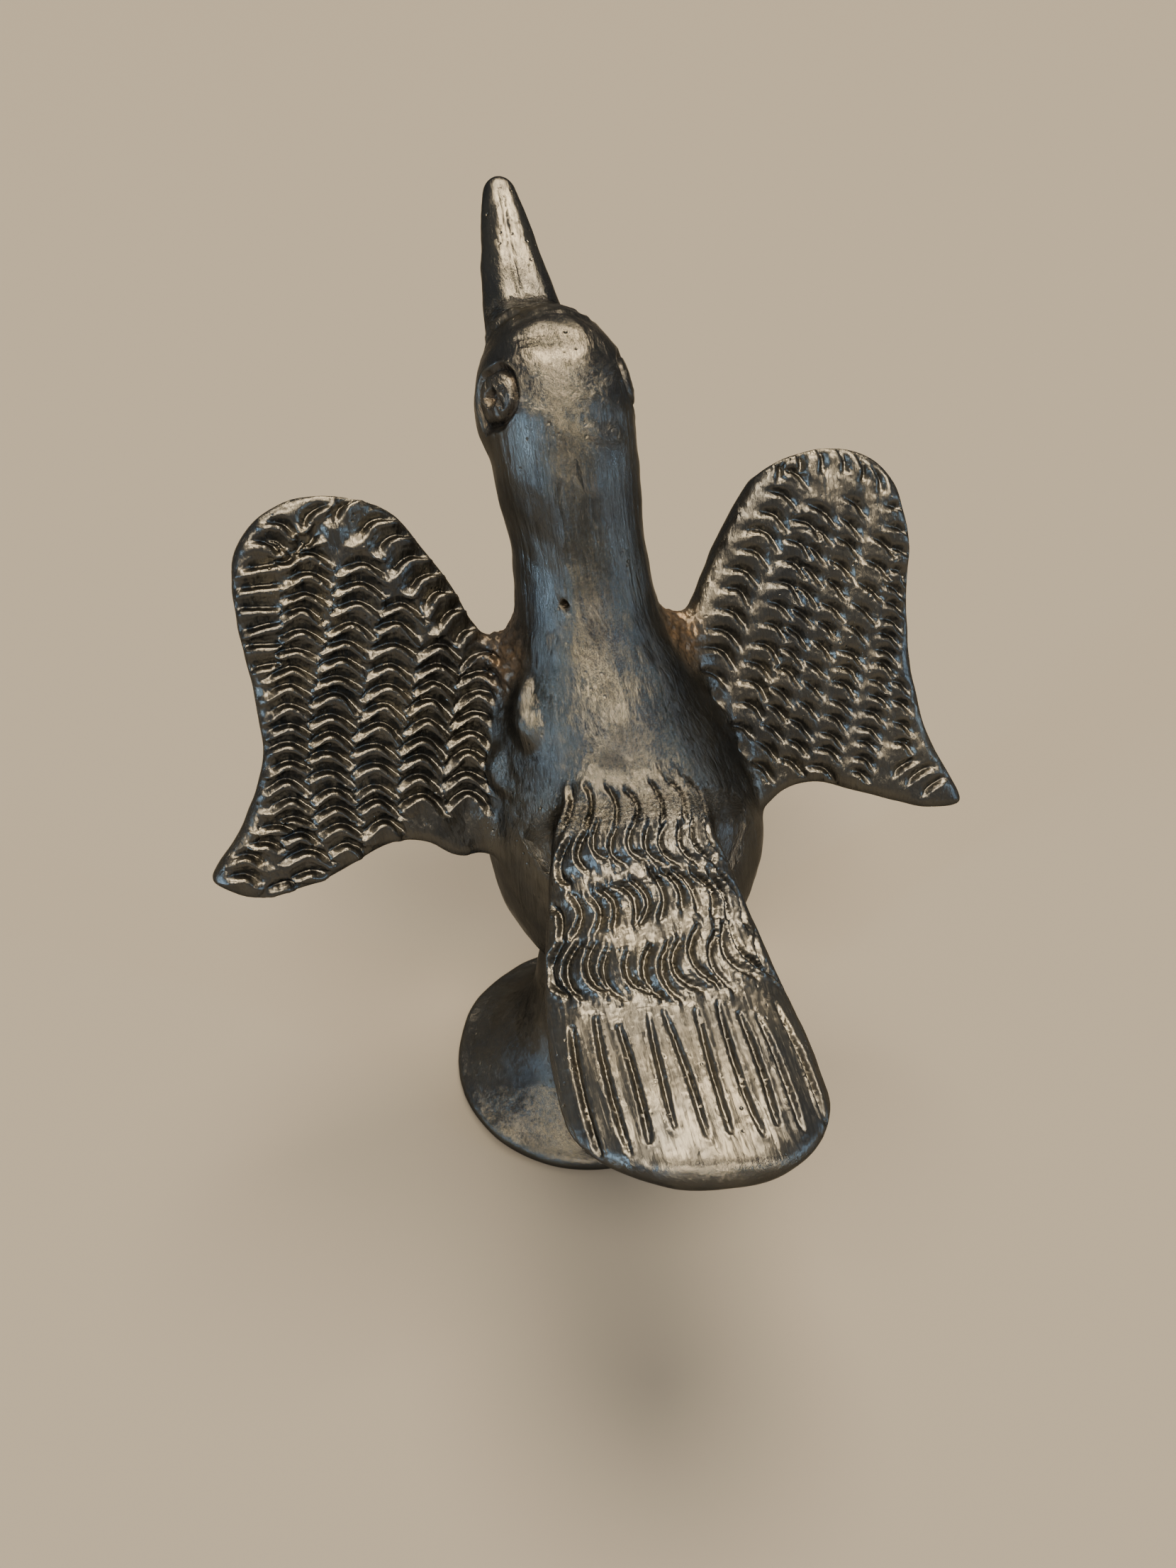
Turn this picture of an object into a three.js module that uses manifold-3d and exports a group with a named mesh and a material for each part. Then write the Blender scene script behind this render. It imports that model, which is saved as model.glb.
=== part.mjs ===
// A hand-modelled bird of burnished black clay with spread wings, on a flared foot.
// Millimetres, +Z up, the bird faces -Y and its left wing is at +X.
// The origin is the centre of the foot's flat underside.
import * as THREE from 'three';
import { mergeVertices } from 'three/addons/utils/BufferGeometryUtils.js';
import Module from 'manifold-3d';

const wasm = await Module();
wasm.setup();

// Driving sizes
const FIGURE_HEIGHT = 126;
const FOOT_DIAMETER = 55;
const FOOT_HEIGHT = 34;
const FOOT_EDGE = 3.8;
const STEM_DIAMETER = 20;
const WING_THICKNESS = 5;
const TAIL_THICKNESS = 5.8;
const MARK_WIDTH = 1.2;
const MARK_DEPTH = 0.7;
const FLUTE_WIDTH = 1.1;
const FLUTE_DEPTH = 0.8;
const EYE_DIAMETER = 8.4;
const EYE_PIT = 2.2;
const VENT_DIAMETER = 1.8;
const VENT_DEPTH = 3;

// The free form is given in hundredths of the figure's height, measured from the top of the foot
const share = (percent) => percent * FIGURE_HEIGHT / 100;
const spot = (left, back, up) => new THREE.Vector3(share(left), share(back), FOOT_HEIGHT + share(up));
const degrees = THREE.MathUtils.degToRad;

// Reads a smooth value along a list of [place, value] pairs, with the places in rising order
function along(pairs, place) {
  const last = pairs.length - 1;
  let i = 0;
  while (i < last - 1 && place > pairs[i + 1][0]) i++;
  const [a, b] = [pairs[i], pairs[i + 1]];
  const before = pairs[Math.max(i - 1, 0)];
  const after = pairs[Math.min(i + 2, last)];
  const span = b[0] - a[0];
  const t = THREE.MathUtils.clamp((place - a[0]) / span, 0, 1);
  const slopeA = (b[1] - before[1]) / (b[0] - before[0]) * span;
  const slopeB = (after[1] - a[1]) / (after[0] - a[0]) * span;
  const bend = 3 * (b[1] - a[1]) - 2 * slopeA - slopeB;
  const rest = slopeA + slopeB - 2 * (b[1] - a[1]);
  return a[1] + slopeA * t + bend * t * t + rest * t * t * t;
}

// A round end: 0 at the tip, 1 from `length` inwards
const roundEnd = (t, length) => Math.sqrt(Math.max(0, 1 - Math.max(0, 1 - t / length) ** 2));

// A closed skin made from a sphere: its rows run along the form and its columns run round it
function skin(sides, rows, place) {
  const shape = new THREE.SphereGeometry(1, sides, rows);
  const { position, uv } = shape.attributes;
  for (let i = 0; i < position.count; i++) {
    const row = Math.round(uv.getY(i) * rows);
    const pole = row === 0 || row === rows;
    const point = place(row / rows, pole ? 0 : 2 * Math.PI * uv.getX(i));
    position.setXYZ(i, point.x, point.y, point.z);
  }
  return shape;
}

// A limb round a curve that runs along the bird, with a section square to the curve.
// `section` turns a direction round the limb into distances sideways, square to it and along it.
function limb(curve, sides, rows, spacing, section) {
  const across = new THREE.Vector3(1, 0, 0);
  return skin(sides, rows, (row, angle) => {
    const t = spacing(row);
    const centre = curve.getPointAt(t);
    const tangent = curve.getTangentAt(t);
    const depthwise = new THREE.Vector3().crossVectors(across, tangent).normalize();
    const [side, depth, shift = 0] = section(t, -Math.cos(angle), Math.sin(angle), centre);
    return centre.addScaledVector(across, side).addScaledVector(depthwise, depth)
      .addScaledVector(tangent, shift);
  });
}

// Turns a closed three.js geometry into a solid for joining and cutting
function solid(geometry) {
  const bare = geometry.index ? geometry.toNonIndexed() : geometry.clone();
  bare.deleteAttribute('normal');
  bare.deleteAttribute('uv');
  const merged = mergeVertices(bare, 1e-4);
  const index = merged.index.array;
  const faces = [];
  for (let i = 0; i < index.length; i += 3) {
    const [a, b, c] = [index[i], index[i + 1], index[i + 2]];
    if (a !== b && b !== c && c !== a) faces.push(a, b, c);
  }
  const mesh = new wasm.Mesh({
    numProp: 3,
    vertProperties: new Float32Array(merged.attributes.position.array),
    triVerts: new Uint32Array(faces),
  });
  return new wasm.Manifold(mesh);
}

// A groove cutter along a path on a surface, three-sided and tapered at both ends.
// `path` gives a point and `out` the surface's direction at each share of the way.
const CUTTER_SIDES = 3;
const CUTTER_TAPER = 0.4;
const NEARBY = 0.02;

function groove(path, out, width, depth, steps) {
  const cutter = skin(CUTTER_SIDES, steps, (t, angle) => {
    const before = path(Math.max(t - NEARBY, 0));
    const tangent = path(Math.min(t + NEARBY, 1)).sub(before).normalize();
    const normal = out(t);
    const sideways = new THREE.Vector3().crossVectors(normal, tangent);
    const fullness = Math.sin(Math.PI * t) ** CUTTER_TAPER;
    const lift = -Math.cos(angle) * depth;
    const spread = Math.sin(angle) * width * Math.cos(Math.PI / 2 / CUTTER_SIDES);
    return path(t).addScaledVector(normal, lift * fullness).addScaledVector(sideways, spread * fullness);
  });
  return solid(cutter);
}

// Foot: a flared round plinth with a rounded rim and a waisted stem.
// The flare's curve is pulled by two points, given as shares of the flare's width and the foot's height.
const FOOT_ROUNDING = 0.35;
const FLARE_PULL = { inwards: 0.55, upwards: 0.14 };
const WAIST_PULL = 0.42;
const FOOT_OVERLAP = 0.3;
const FOOT_SIDES = 30;
const FLARE_STEPS = 6;

function makeFoot() {
  const rim = FOOT_DIAMETER / 2;
  const stem = STEM_DIAMETER / 2;
  const rounding = FOOT_EDGE * FOOT_ROUNDING;
  const flare = new THREE.CubicBezierCurve(
    new THREE.Vector2(rim - rounding, FOOT_EDGE),
    new THREE.Vector2(rim - (rim - stem) * FLARE_PULL.inwards, FOOT_EDGE + FOOT_HEIGHT * FLARE_PULL.upwards),
    new THREE.Vector2(stem, FOOT_HEIGHT * WAIST_PULL),
    new THREE.Vector2(stem, FOOT_HEIGHT),
  );
  const profile = [
    new THREE.Vector2(0, 0),
    new THREE.Vector2(rim - rounding, 0),
    new THREE.Vector2(rim, rounding),
    new THREE.Vector2(rim, FOOT_EDGE - rounding),
    ...flare.getPoints(FLARE_STEPS),
    new THREE.Vector2(0, FOOT_HEIGHT + stem * FOOT_OVERLAP),
  ];
  return solid(new THREE.LatheGeometry(profile, FOOT_SIDES).rotateX(Math.PI / 2));
}

// Trunk: body and neck in one, round a line that climbs from the stem and leans forward.
// Half widths and half depths are given by the height above the foot.
const TRUNK_FACETS = [22, 17];
const TRUNK_ENDS = [0.02, 0.05];
const STEM_SHARE = STEM_DIAMETER / 2 / FIGURE_HEIGHT * 100;
const TRUNK_LINE = [
  [-1, 0, -6], [-4, 0, 10], [-5, 0.2, 24], [-3.6, -0.4, 38],
  [-1.9, -3, 49], [-0.6, -8.3, 64], [0.1, -12, 74], [0.5, -15.6, 83],
];
const TRUNK_HALF_WIDTH = [
  [-6, STEM_SHARE * 0.8], [0, STEM_SHARE], [4.5, 9.8], [10.3, 13.8], [16.7, 17.3], [23.8, 18.9],
  [31.7, 18.4], [39.7, 15.9], [46, 13.4], [51.6, 10.9], [57.9, 8.9], [65, 8.2], [72, 8.7], [83, 8.6],
];
const TRUNK_HALF_DEPTH = [
  [-6, STEM_SHARE * 0.8], [0, STEM_SHARE], [4.5, 10.7], [10.3, 16], [16.7, 19.7], [23.8, 21.2],
  [31.7, 20.4], [39.7, 17], [46, 13.6], [51.6, 11.1], [57.9, 9.3], [65, 8.4], [72, 8.7], [83, 8.6],
];
const curveOf = (points) => new THREE.CatmullRomCurve3(points.map((p) => spot(...p)));
const trunkLine = curveOf(TRUNK_LINE);

function makeTrunk() {
  return solid(limb(trunkLine, ...TRUNK_FACETS, (row) => row, (t, side, depth, centre) => {
    const height = (centre.z - FOOT_HEIGHT) / FIGURE_HEIGHT * 100;
    const end = roundEnd(t, TRUNK_ENDS[0]) * roundEnd(1 - t, TRUNK_ENDS[1]);
    return [
      side * end * share(along(TRUNK_HALF_WIDTH, height)),
      depth * end * share(along(TRUNK_HALF_DEPTH, height)),
    ];
  }));
}

// Head: an egg on the neck's end, longer than it is wide, tipped up towards the beak
const HEAD = [0.6, -16.4, 79];
const HEAD_SIZE = [9.4, 11.6, 10.3];
const HEAD_TIP = 28;
const HEAD_FACETS = [18, 11];

function makeHead() {
  const egg = new THREE.SphereGeometry(1, ...HEAD_FACETS).rotateZ(Math.PI / 2).scale(...HEAD_SIZE.map(share));
  const { x, y, z } = spot(...HEAD);
  return solid(egg.rotateX(-degrees(HEAD_TIP)).translate(x, y, z));
}

// Beak: long and thick, raised forwards, with flat upper sides, a flattened ridge and a blunt tip
const BEAK_LINE = [[1.7, -15, 79], [2.4, -24, 85.6], [2.8, -32, 92.4], [3, -39.6, 98.6]];
const BEAK_HALF_WIDTH = [[0, 6.4], [0.4, 4.9], [0.75, 3.3], [1, 1.8]];
const BEAK_HALF_DEPTH = [[0, 6], [0.4, 4.2], [0.75, 2.9], [1, 1.6]];
const BEAK_FLAT = 0.76;
const BEAK_KEEL = 1.4;
const BEAK_FACETS = [12, 9];
const BEAK_SPACING = 0.9;
const BEAK_ENDS = [0.05, 0.06];
const beakLine = curveOf(BEAK_LINE);

function makeBeak() {
  return solid(limb(beakLine, ...BEAK_FACETS, (row) => row ** BEAK_SPACING, (t, side, depth) => {
    const end = roundEnd(t, BEAK_ENDS[0]) * roundEnd(1 - t, BEAK_ENDS[1]);
    const width = share(along(BEAK_HALF_WIDTH, t));
    const height = share(along(BEAK_HALF_DEPTH, t));
    const roundness = Math.abs(side) ** BEAK_KEEL + Math.abs(depth) ** BEAK_KEEL;
    const keel = depth < 0 ? roundness ** (-1 / BEAK_KEEL) : 1;
    return [side * keel * end * width, -Math.min(-depth * keel, BEAK_FLAT) * end * height];
  }));
}

// Tail: a broad slab that droops from the rump and flattens towards its wide round end.
// Its middle stands a little higher than its edges, and its end slants to the bird's right.
const TAIL_LINE = [[-2.2, 8, 46], [-2, 22, 36.2], [-2.2, 33.5, 29.8], [-2.7, 44, 25.8], [-3.2, 54.6, 23.4]];
const TAIL_HALF_WIDTH = [
  [0, 5], [0.1, 8], [0.2, 9.7], [0.42, 12.4], [0.64, 14.5], [0.82, 15], [1, 14.6],
];
const TAIL_FACETS = [18, 13];
const TAIL_ROUNDING = 0.05;
const TAIL_SIDES = 0.7;
const TAIL_TOP = { sides: 3, fullness: 0.4 };
const TAIL_END = 0.2;
const TAIL_ROOT = 0.7;
const TAIL_DOME = 1.6;
const TAIL_SLANT = 1.6;
const tailLine = curveOf(TAIL_LINE);
const tailReach = (t) => share(along(TAIL_HALF_WIDTH, t)) * roundEnd(1 - t, TAIL_END);
const tailThickness = (t) => (
  TAIL_THICKNESS * (1 + TAIL_ROOT * (1 - t) ** 3) * roundEnd(t, TAIL_ROUNDING) * roundEnd(1 - t, TAIL_ROUNDING)
);
const tailRise = (t, across) => {
  const fullness = Math.max(0, 1 - Math.abs(across) ** TAIL_TOP.sides) ** TAIL_TOP.fullness;
  return fullness * tailThickness(t) / 2;
};
const tailOffset = (t, across) => across * tailReach(t) / share(TAIL_HALF_WIDTH.at(-1)[1]);
const tailDrop = (t, across) => share(TAIL_DOME) * tailOffset(t, across) ** 2;
const tailShift = (t, across) => -share(TAIL_SLANT) * tailOffset(t, across) * t;

function makeTail() {
  return solid(limb(tailLine, ...TAIL_FACETS, (row) => Math.sin(row * Math.PI / 2), (t, side, depth) => {
    const across = Math.sign(side) * Math.abs(side) ** TAIL_SIDES;
    const rise = Math.abs(depth) < 1e-6 ? 0 : Math.sign(depth) * tailRise(t, across);
    return [across * tailReach(t), rise - tailDrop(t, across), tailShift(t, across)];
  }));
}

// A point on the tail's upper face, by its share along and its share across from -1 to 1
function onTail(t, across) {
  const tangent = tailLine.getTangentAt(t);
  const upward = new THREE.Vector3(0, -tangent.z, tangent.y).normalize();
  const point = tailLine.getPointAt(t)
    .addScaledVector(upward, tailRise(t, across) - tailDrop(t, across))
    .addScaledVector(tangent, tailShift(t, across));
  point.x += across * tailReach(t);
  return point;
}

// The direction that the tail's upper face looks in
function tailOut(t, across) {
  const lengthwise = onTail(Math.min(t + NEARBY, 1), across).sub(onTail(Math.max(t - NEARBY, 0), across));
  const sideways = onTail(t, across + NEARBY).sub(onTail(t, across - NEARBY));
  return new THREE.Vector3().crossVectors(sideways, lengthwise).normalize();
}

// Wings: flat slabs that lean forward at the top and sweep back at the tips
const WING_LEAN = 30;
const WING_SWEEP = 10;
const WING_ROOT = [-1.6, -2.4, 42.9];
const WING_HALF_GAP = 15.9;
const WING_POINTS = 34;
const WING_BEVEL = { depth: 0.42, reach: 0.9, segments: 2 };
const WING_TOP = [
  [-13, -6], [-10, 5], [-3.8, 12], [-0.1, 20.4], [4.3, 28.3], [7.9, 31], [12.2, 32.3], [16.7, 32.1],
  [20.9, 30.2], [23.7, 26.7], [25.2, 20], [25.4, 10], [26.3, 3],
];
const WING_TIP = {
  left: [[30.1, -3.8], [34.6, -8.6], [35.1, -10.4], [31.8, -13.2], [27.6, -13.8]],
  right: [[29.6, -6.6], [33.3, -12.6], [33.2, -14.7], [28.8, -14.9]],
};
const WING_BOTTOM = [[22.4, -13.3], [18, -12.1], [13.6, -11.1], [9.3, -12.1], [4, -15.6], [-9, -15]];

function wingEdge(tip) {
  const corners = [...WING_TOP, ...tip, ...WING_BOTTOM, WING_TOP[0]];
  const curve = new THREE.SplineCurve(corners.map(([out, up]) => new THREE.Vector2(share(out), share(up))));
  return curve.getSpacedPoints(WING_POINTS).slice(0, -1);
}

function wingFrame(side) {
  const sweep = degrees(WING_SWEEP);
  const lean = degrees(WING_LEAN);
  const out = new THREE.Vector3(side * Math.cos(sweep), Math.sin(sweep), 0);
  const behind = new THREE.Vector3(-side * Math.sin(sweep), Math.cos(sweep), 0);
  const up = new THREE.Vector3(0, 0, Math.cos(lean)).addScaledVector(behind, -Math.sin(lean));
  const back = new THREE.Vector3(0, 0, Math.sin(lean)).addScaledVector(behind, Math.cos(lean));
  const centre = spot(WING_ROOT[0] + side * WING_HALF_GAP, WING_ROOT[1], WING_ROOT[2]);
  const place = (outwards, upwards, lift) => centre.clone()
    .addScaledVector(out, outwards).addScaledVector(up, upwards).addScaledVector(back, lift);
  return { out, up, back, centre, place };
}

function makeWing({ side, tip }) {
  const bevel = WING_THICKNESS * WING_BEVEL.depth;
  const slab = new THREE.ExtrudeGeometry(new THREE.Shape(wingEdge(tip)), {
    depth: WING_THICKNESS - 2 * bevel,
    bevelThickness: bevel,
    bevelSize: bevel * WING_BEVEL.reach,
    bevelOffset: -bevel * WING_BEVEL.reach,
    bevelSegments: WING_BEVEL.segments,
    steps: 1,
  });
  slab.translate(0, 0, bevel - WING_THICKNESS / 2);
  const { out, up, centre } = wingFrame(side);
  const normal = new THREE.Vector3().crossVectors(out, up);
  slab.applyMatrix4(new THREE.Matrix4().makeBasis(out, up, normal).setPosition(centre));
  return solid(slab);
}

// Shoulder: a lump of clay that joins the top of each wing to the neck
const SHOULDER = [9.8, -6.6, 50];
const SHOULDER_SIZE = [4.4, 3.8, 5];
const SHOULDER_FACETS = [10, 7];

function makeShoulder(side) {
  const lump = new THREE.SphereGeometry(1, ...SHOULDER_FACETS).scale(...SHOULDER_SIZE.map(share));
  const [left, back, up] = SHOULDER;
  const { x, y, z } = spot(WING_ROOT[0] + side * left, back, up);
  return solid(lump.translate(x, y, z));
}

// Eyes: a ring groove round a raised disc with a pit in its middle, on each side of the head.
// The right eye sits a little lower and further forward than the left one.
const EYE_PLACES = [[0.84, 0.2, 0.5], [-0.93, 0.02, 0.37]];
const EYE_RING_FACETS = [4, 14];
const EYE_PIT_FACETS = [6, 5];

function makeEyeCuts(direction) {
  const size = new THREE.Vector3(...HEAD_SIZE.map(share));
  const tipped = new THREE.Euler(-degrees(HEAD_TIP), 0, 0);
  const place = new THREE.Vector3(...direction).normalize();
  const outward = place.clone().divide(size).normalize().applyEuler(tipped);
  const centre = place.multiply(size).applyEuler(tipped).add(spot(...HEAD));
  const facing = new THREE.Quaternion().setFromUnitVectors(new THREE.Vector3(0, 0, 1), outward);
  const sink = (EYE_DIAMETER / 2) ** 2 / (size.x + size.y);
  const ring = new THREE.TorusGeometry(EYE_DIAMETER / 2, MARK_DEPTH, ...EYE_RING_FACETS);
  ring.translate(0, 0, -sink);
  const pit = new THREE.SphereGeometry(EYE_PIT / 2, ...EYE_PIT_FACETS);
  return [ring, pit].map((cut) => {
    cut.applyQuaternion(facing).translate(centre.x, centre.y, centre.z);
    return solid(cut);
  });
}

// Vent: a small round hole low on the back of the neck, narrower at its bottom
const VENT = [2.9, 0.6, 62.4];
const VENT_TAPER = 2 / 3;
const VENT_SIDES = 8;
const VENT_DIRECTION = new THREE.Vector3(0.45, 0.8, 0.38).normalize();

function makeVent() {
  const mouth = spot(...VENT);
  const mouthRadius = VENT_DIAMETER / 2;
  const hole = new THREE.CylinderGeometry(mouthRadius, mouthRadius * VENT_TAPER, VENT_DEPTH * 2, VENT_SIDES);
  const facing = new THREE.Quaternion().setFromUnitVectors(new THREE.Vector3(0, 1, 0), VENT_DIRECTION);
  return solid(hole.applyQuaternion(facing).translate(mouth.x, mouth.y, mouth.z));
}

// Wing marks: columns of pressed arcs, like scales. Each wing was pressed at a hand's own slant.
const WINGS = [
  {
    side: 1, tip: WING_TIP.left, rim: [0.31, 0.47],
    slant: 22, turn: -4, column: 5.45, row: 2.3, chord: 5.3, rise: 1.7, first: 0.2,
  },
  {
    side: -1, tip: WING_TIP.right, rim: [0.24, 0.4],
    slant: -16, turn: -18, column: 5, row: 2.8, chord: 4.8, rise: 1.7, first: 0,
  },
];
const MARK_INSET = 2.8;
const ROOT_CLEARANCE = 2;
const RIM_STROKES = 6;
const RIM_STROKE = [0.9, 3.9];
const ARC_STEPS = 3;
const RIM_STEPS = 2;
const COLUMN_RANGE = [-6, 9];
const ROW_RANGE = [-18, 18];
const WING_INNER = -1.4;
const WING_INNER_SLOPE = { above: 0.36, below: 0.17 };

const wingInner = (up) => (
  share(WING_INNER) - up * (up > 0 ? WING_INNER_SLOPE.above : WING_INNER_SLOPE.below)
);

// True where a mark may sit: far enough inside the wing's edge and clear of the trunk
function inField(edge, out, up) {
  const point = new THREE.Vector2(out, up);
  if (out < wingInner(up) + share(ROOT_CLEARANCE)) return false;
  let inside = false;
  edge.forEach((a, i) => {
    const b = edge[(i + 1) % edge.length];
    const crosses = a.y > up !== b.y > up;
    if (crosses && out < (b.x - a.x) * (up - a.y) / (b.y - a.y) + a.x) inside = !inside;
  });
  return inside && edge.every((a) => a.distanceTo(point) > share(MARK_INSET));
}

// One arc pressed into a wing's back, round (out, up), turned by `turn` degrees
function makeWingMark(frame, out, up, turn, chord, rise) {
  const angle = degrees(turn);
  const path = (t) => {
    const x = (t - 0.5) * chord;
    const y = rise * (1 - (2 * t - 1) ** 2) - rise / 2;
    const outwards = x * Math.cos(angle) - y * Math.sin(angle);
    const upwards = x * Math.sin(angle) + y * Math.cos(angle);
    return frame.place(out + outwards, up + upwards, WING_THICKNESS / 2);
  };
  return groove(path, () => frame.back, MARK_WIDTH, MARK_DEPTH, ARC_STEPS);
}

function makeWingMarks({ side, tip, slant, turn, column, row, chord, rise, first }) {
  const frame = wingFrame(side);
  const edge = wingEdge(tip);
  const lean = degrees(slant);
  const cuts = [];
  for (let c = COLUMN_RANGE[0]; c <= COLUMN_RANGE[1]; c++) {
    for (let r = ROW_RANGE[0]; r <= ROW_RANGE[1]; r++) {
      const across = share((c + first) * column);
      const upward = share((r + 0.5 * (c & 1)) * row);
      const out = across * Math.cos(lean) - upward * Math.sin(lean);
      const up = across * Math.sin(lean) + upward * Math.cos(lean);
      if (inField(edge, out, up)) {
        cuts.push(makeWingMark(frame, out, up, slant + turn, share(chord), share(rise)));
      }
    }
  }
  return cuts;
}

// Short strokes across the wing's rim, round the top of its outer side
function makeRimMarks({ side, tip, rim }) {
  const frame = wingFrame(side);
  const edge = wingEdge(tip);
  return Array.from({ length: RIM_STROKES }, (_, i) => {
    const k = Math.round(edge.length * THREE.MathUtils.lerp(...rim, i / (RIM_STROKES - 1)));
    const run = edge[k + 1].clone().sub(edge[k - 1]).normalize();
    const path = (t) => {
      const inset = share(THREE.MathUtils.lerp(...RIM_STROKE, t));
      return frame.place(edge[k].x + run.y * inset, edge[k].y - run.x * inset, WING_THICKNESS / 2);
    };
    return groove(path, () => frame.back, MARK_WIDTH, MARK_DEPTH, RIM_STEPS);
  });
}

// Tail carving: rows of pressed crescents, then long flutes that fan out to the end
const CRESCENT_ROWS = [0.24, 0.34, 0.44, 0.54];
const CRESCENT_LENGTH = 0.1;
const CRESCENT_PITCH = 3;
const CRESCENT_RISE = 1.2;
const FLUTES = 10;
const FLUTE_SPAN = [0.64, 0.93];
const FLUTE_STEPS = 4;
const CARVED_SPAN = 0.84;

function makeTailMarks() {
  const cuts = [];
  CRESCENT_ROWS.forEach((middle) => {
    const pitch = share(CRESCENT_PITCH) / tailReach(middle);
    const count = Math.floor(2 * CARVED_SPAN / pitch) + 1;
    for (let i = 0; i < count; i++) {
      const centre = (i - (count - 1) / 2) * pitch;
      const bulge = share(CRESCENT_RISE) / tailReach(middle);
      const place = (t) => [
        middle + (t - 0.5) * CRESCENT_LENGTH,
        centre - bulge * (0.5 - (2 * t - 1) ** 2),
      ];
      const path = (t) => onTail(...place(t));
      cuts.push(groove(path, (t) => tailOut(...place(t)), MARK_WIDTH, MARK_DEPTH, ARC_STEPS));
    }
  });
  for (let i = 0; i < FLUTES; i++) {
    const centre = (i / (FLUTES - 1) * 2 - 1) * CARVED_SPAN;
    const place = (t) => [THREE.MathUtils.lerp(...FLUTE_SPAN, t), centre];
    const path = (t) => onTail(...place(t));
    cuts.push(groove(path, (t) => tailOut(...place(t)), FLUTE_WIDTH, FLUTE_DEPTH, FLUTE_STEPS));
  }
  return cuts;
}

// The finished bird, turned back into one three.js mesh
const joined = wasm.Manifold.union([
  makeFoot(), makeTrunk(), makeHead(), makeBeak(), makeTail(),
  ...WINGS.map(makeWing), makeShoulder(1), makeShoulder(-1),
]);
const cuts = wasm.Manifold.union([
  ...EYE_PLACES.flatMap(makeEyeCuts), makeVent(),
  ...WINGS.flatMap(makeWingMarks), ...WINGS.flatMap(makeRimMarks), ...makeTailMarks(),
]);
const carved = joined.subtract(cuts).getMesh();

const geometry = new THREE.BufferGeometry();
geometry.setAttribute('position', new THREE.BufferAttribute(new Float32Array(carved.vertProperties), 3));
geometry.setIndex(new THREE.BufferAttribute(new Uint32Array(carved.triVerts), 1));
geometry.computeVertexNormals();

const clay = new THREE.MeshStandardMaterial({ color: 0x3a3c40, roughness: 0.32, metalness: 0.55 });
const bird = new THREE.Mesh(geometry, clay);
bird.name = 'bird';

const figurine = new THREE.Group();
figurine.add(bird);

export default figurine;
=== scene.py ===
import math
import bpy
import numpy as np
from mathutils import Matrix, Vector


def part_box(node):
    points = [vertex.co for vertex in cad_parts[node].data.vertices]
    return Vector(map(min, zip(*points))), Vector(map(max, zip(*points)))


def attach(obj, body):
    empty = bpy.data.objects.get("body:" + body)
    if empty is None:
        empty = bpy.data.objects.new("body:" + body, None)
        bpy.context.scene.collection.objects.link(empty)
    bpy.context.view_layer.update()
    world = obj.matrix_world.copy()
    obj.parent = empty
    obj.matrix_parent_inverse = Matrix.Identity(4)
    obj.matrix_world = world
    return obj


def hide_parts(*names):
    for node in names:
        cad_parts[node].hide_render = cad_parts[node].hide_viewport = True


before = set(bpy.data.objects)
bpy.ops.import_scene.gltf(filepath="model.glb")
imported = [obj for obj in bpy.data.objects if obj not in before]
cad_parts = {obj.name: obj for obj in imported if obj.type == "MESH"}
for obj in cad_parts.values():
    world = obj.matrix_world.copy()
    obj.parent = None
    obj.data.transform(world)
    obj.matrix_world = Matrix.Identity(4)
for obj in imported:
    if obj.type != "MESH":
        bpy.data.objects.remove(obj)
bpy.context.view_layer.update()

# Camera: close behind the bird and above it, looking steeply down on its back and wings, as a
# hand-held phone does.
LOOKS_DOWN = math.radians(40.8)
LOOKS_ROUND = math.radians(168)
camera = bpy.data.objects.new("camera", bpy.data.cameras.new("camera"))
camera.data.lens = 26.0
camera.data.sensor_width = 36.0
camera.data.clip_start = 0.01
camera.location = (0.03006, 0.14144, 0.2012)
camera.rotation_euler = (math.pi / 2 - LOOKS_DOWN, 0, LOOKS_ROUND)
bpy.context.scene.collection.objects.link(camera)
bpy.context.scene.camera = camera

# Foot: the plinth, pulled out of the same clay as the bird. A flared round base with a thumbed
# rim and a waisted stem, flat underneath where it was cut from the board.
FOOT_HEIGHT = 34.0
FOOT_RIM = 27.5
FOOT_EDGE = 3.8
STEM = 10.0

# Everything on the bird is worked out in millimetres and turned into metres at the joining. The
# free forms above the foot count in shares of the figure's height.
BEAK_TIP_UP = 98.6
cad_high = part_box("bird")[1]
SHARE = (cad_high.z * 1000 - FOOT_HEIGHT) / BEAK_TIP_UP
lumps = []


def closed_skin(rings):
    """Keeps a closed lump of clay: rings along it, the first and the last drawn to one point."""
    rows, sides = rings.shape[:2]
    points = np.concatenate([rings[0, :1], rings[1:-1].reshape(-1, 3), rings[-1, :1]])
    first = 1 + np.arange(rows - 2)[:, None] * sides + np.arange(sides)[None]
    after = np.roll(first, -1, axis=1)
    walls = np.stack([first[:-1], after[:-1], after[1:], first[1:]], -1).reshape(-1, 4)
    start = np.stack([np.zeros(sides, int), after[0], first[0]], -1)
    end = np.stack([np.full(sides, len(points) - 1), first[-1], after[-1]], -1)
    lumps.append((points, walls.tolist() + start.tolist() + end.tolist()))


def bezier(a, b, c, d, steps):
    t = np.linspace(0, 1, steps)[:, None]
    a, b, c, d = (np.array(p, float) for p in (a, b, c, d))
    return (1 - t) ** 3 * a + 3 * (1 - t) ** 2 * t * b + 3 * (1 - t) * t ** 2 * c + t ** 3 * d


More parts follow.
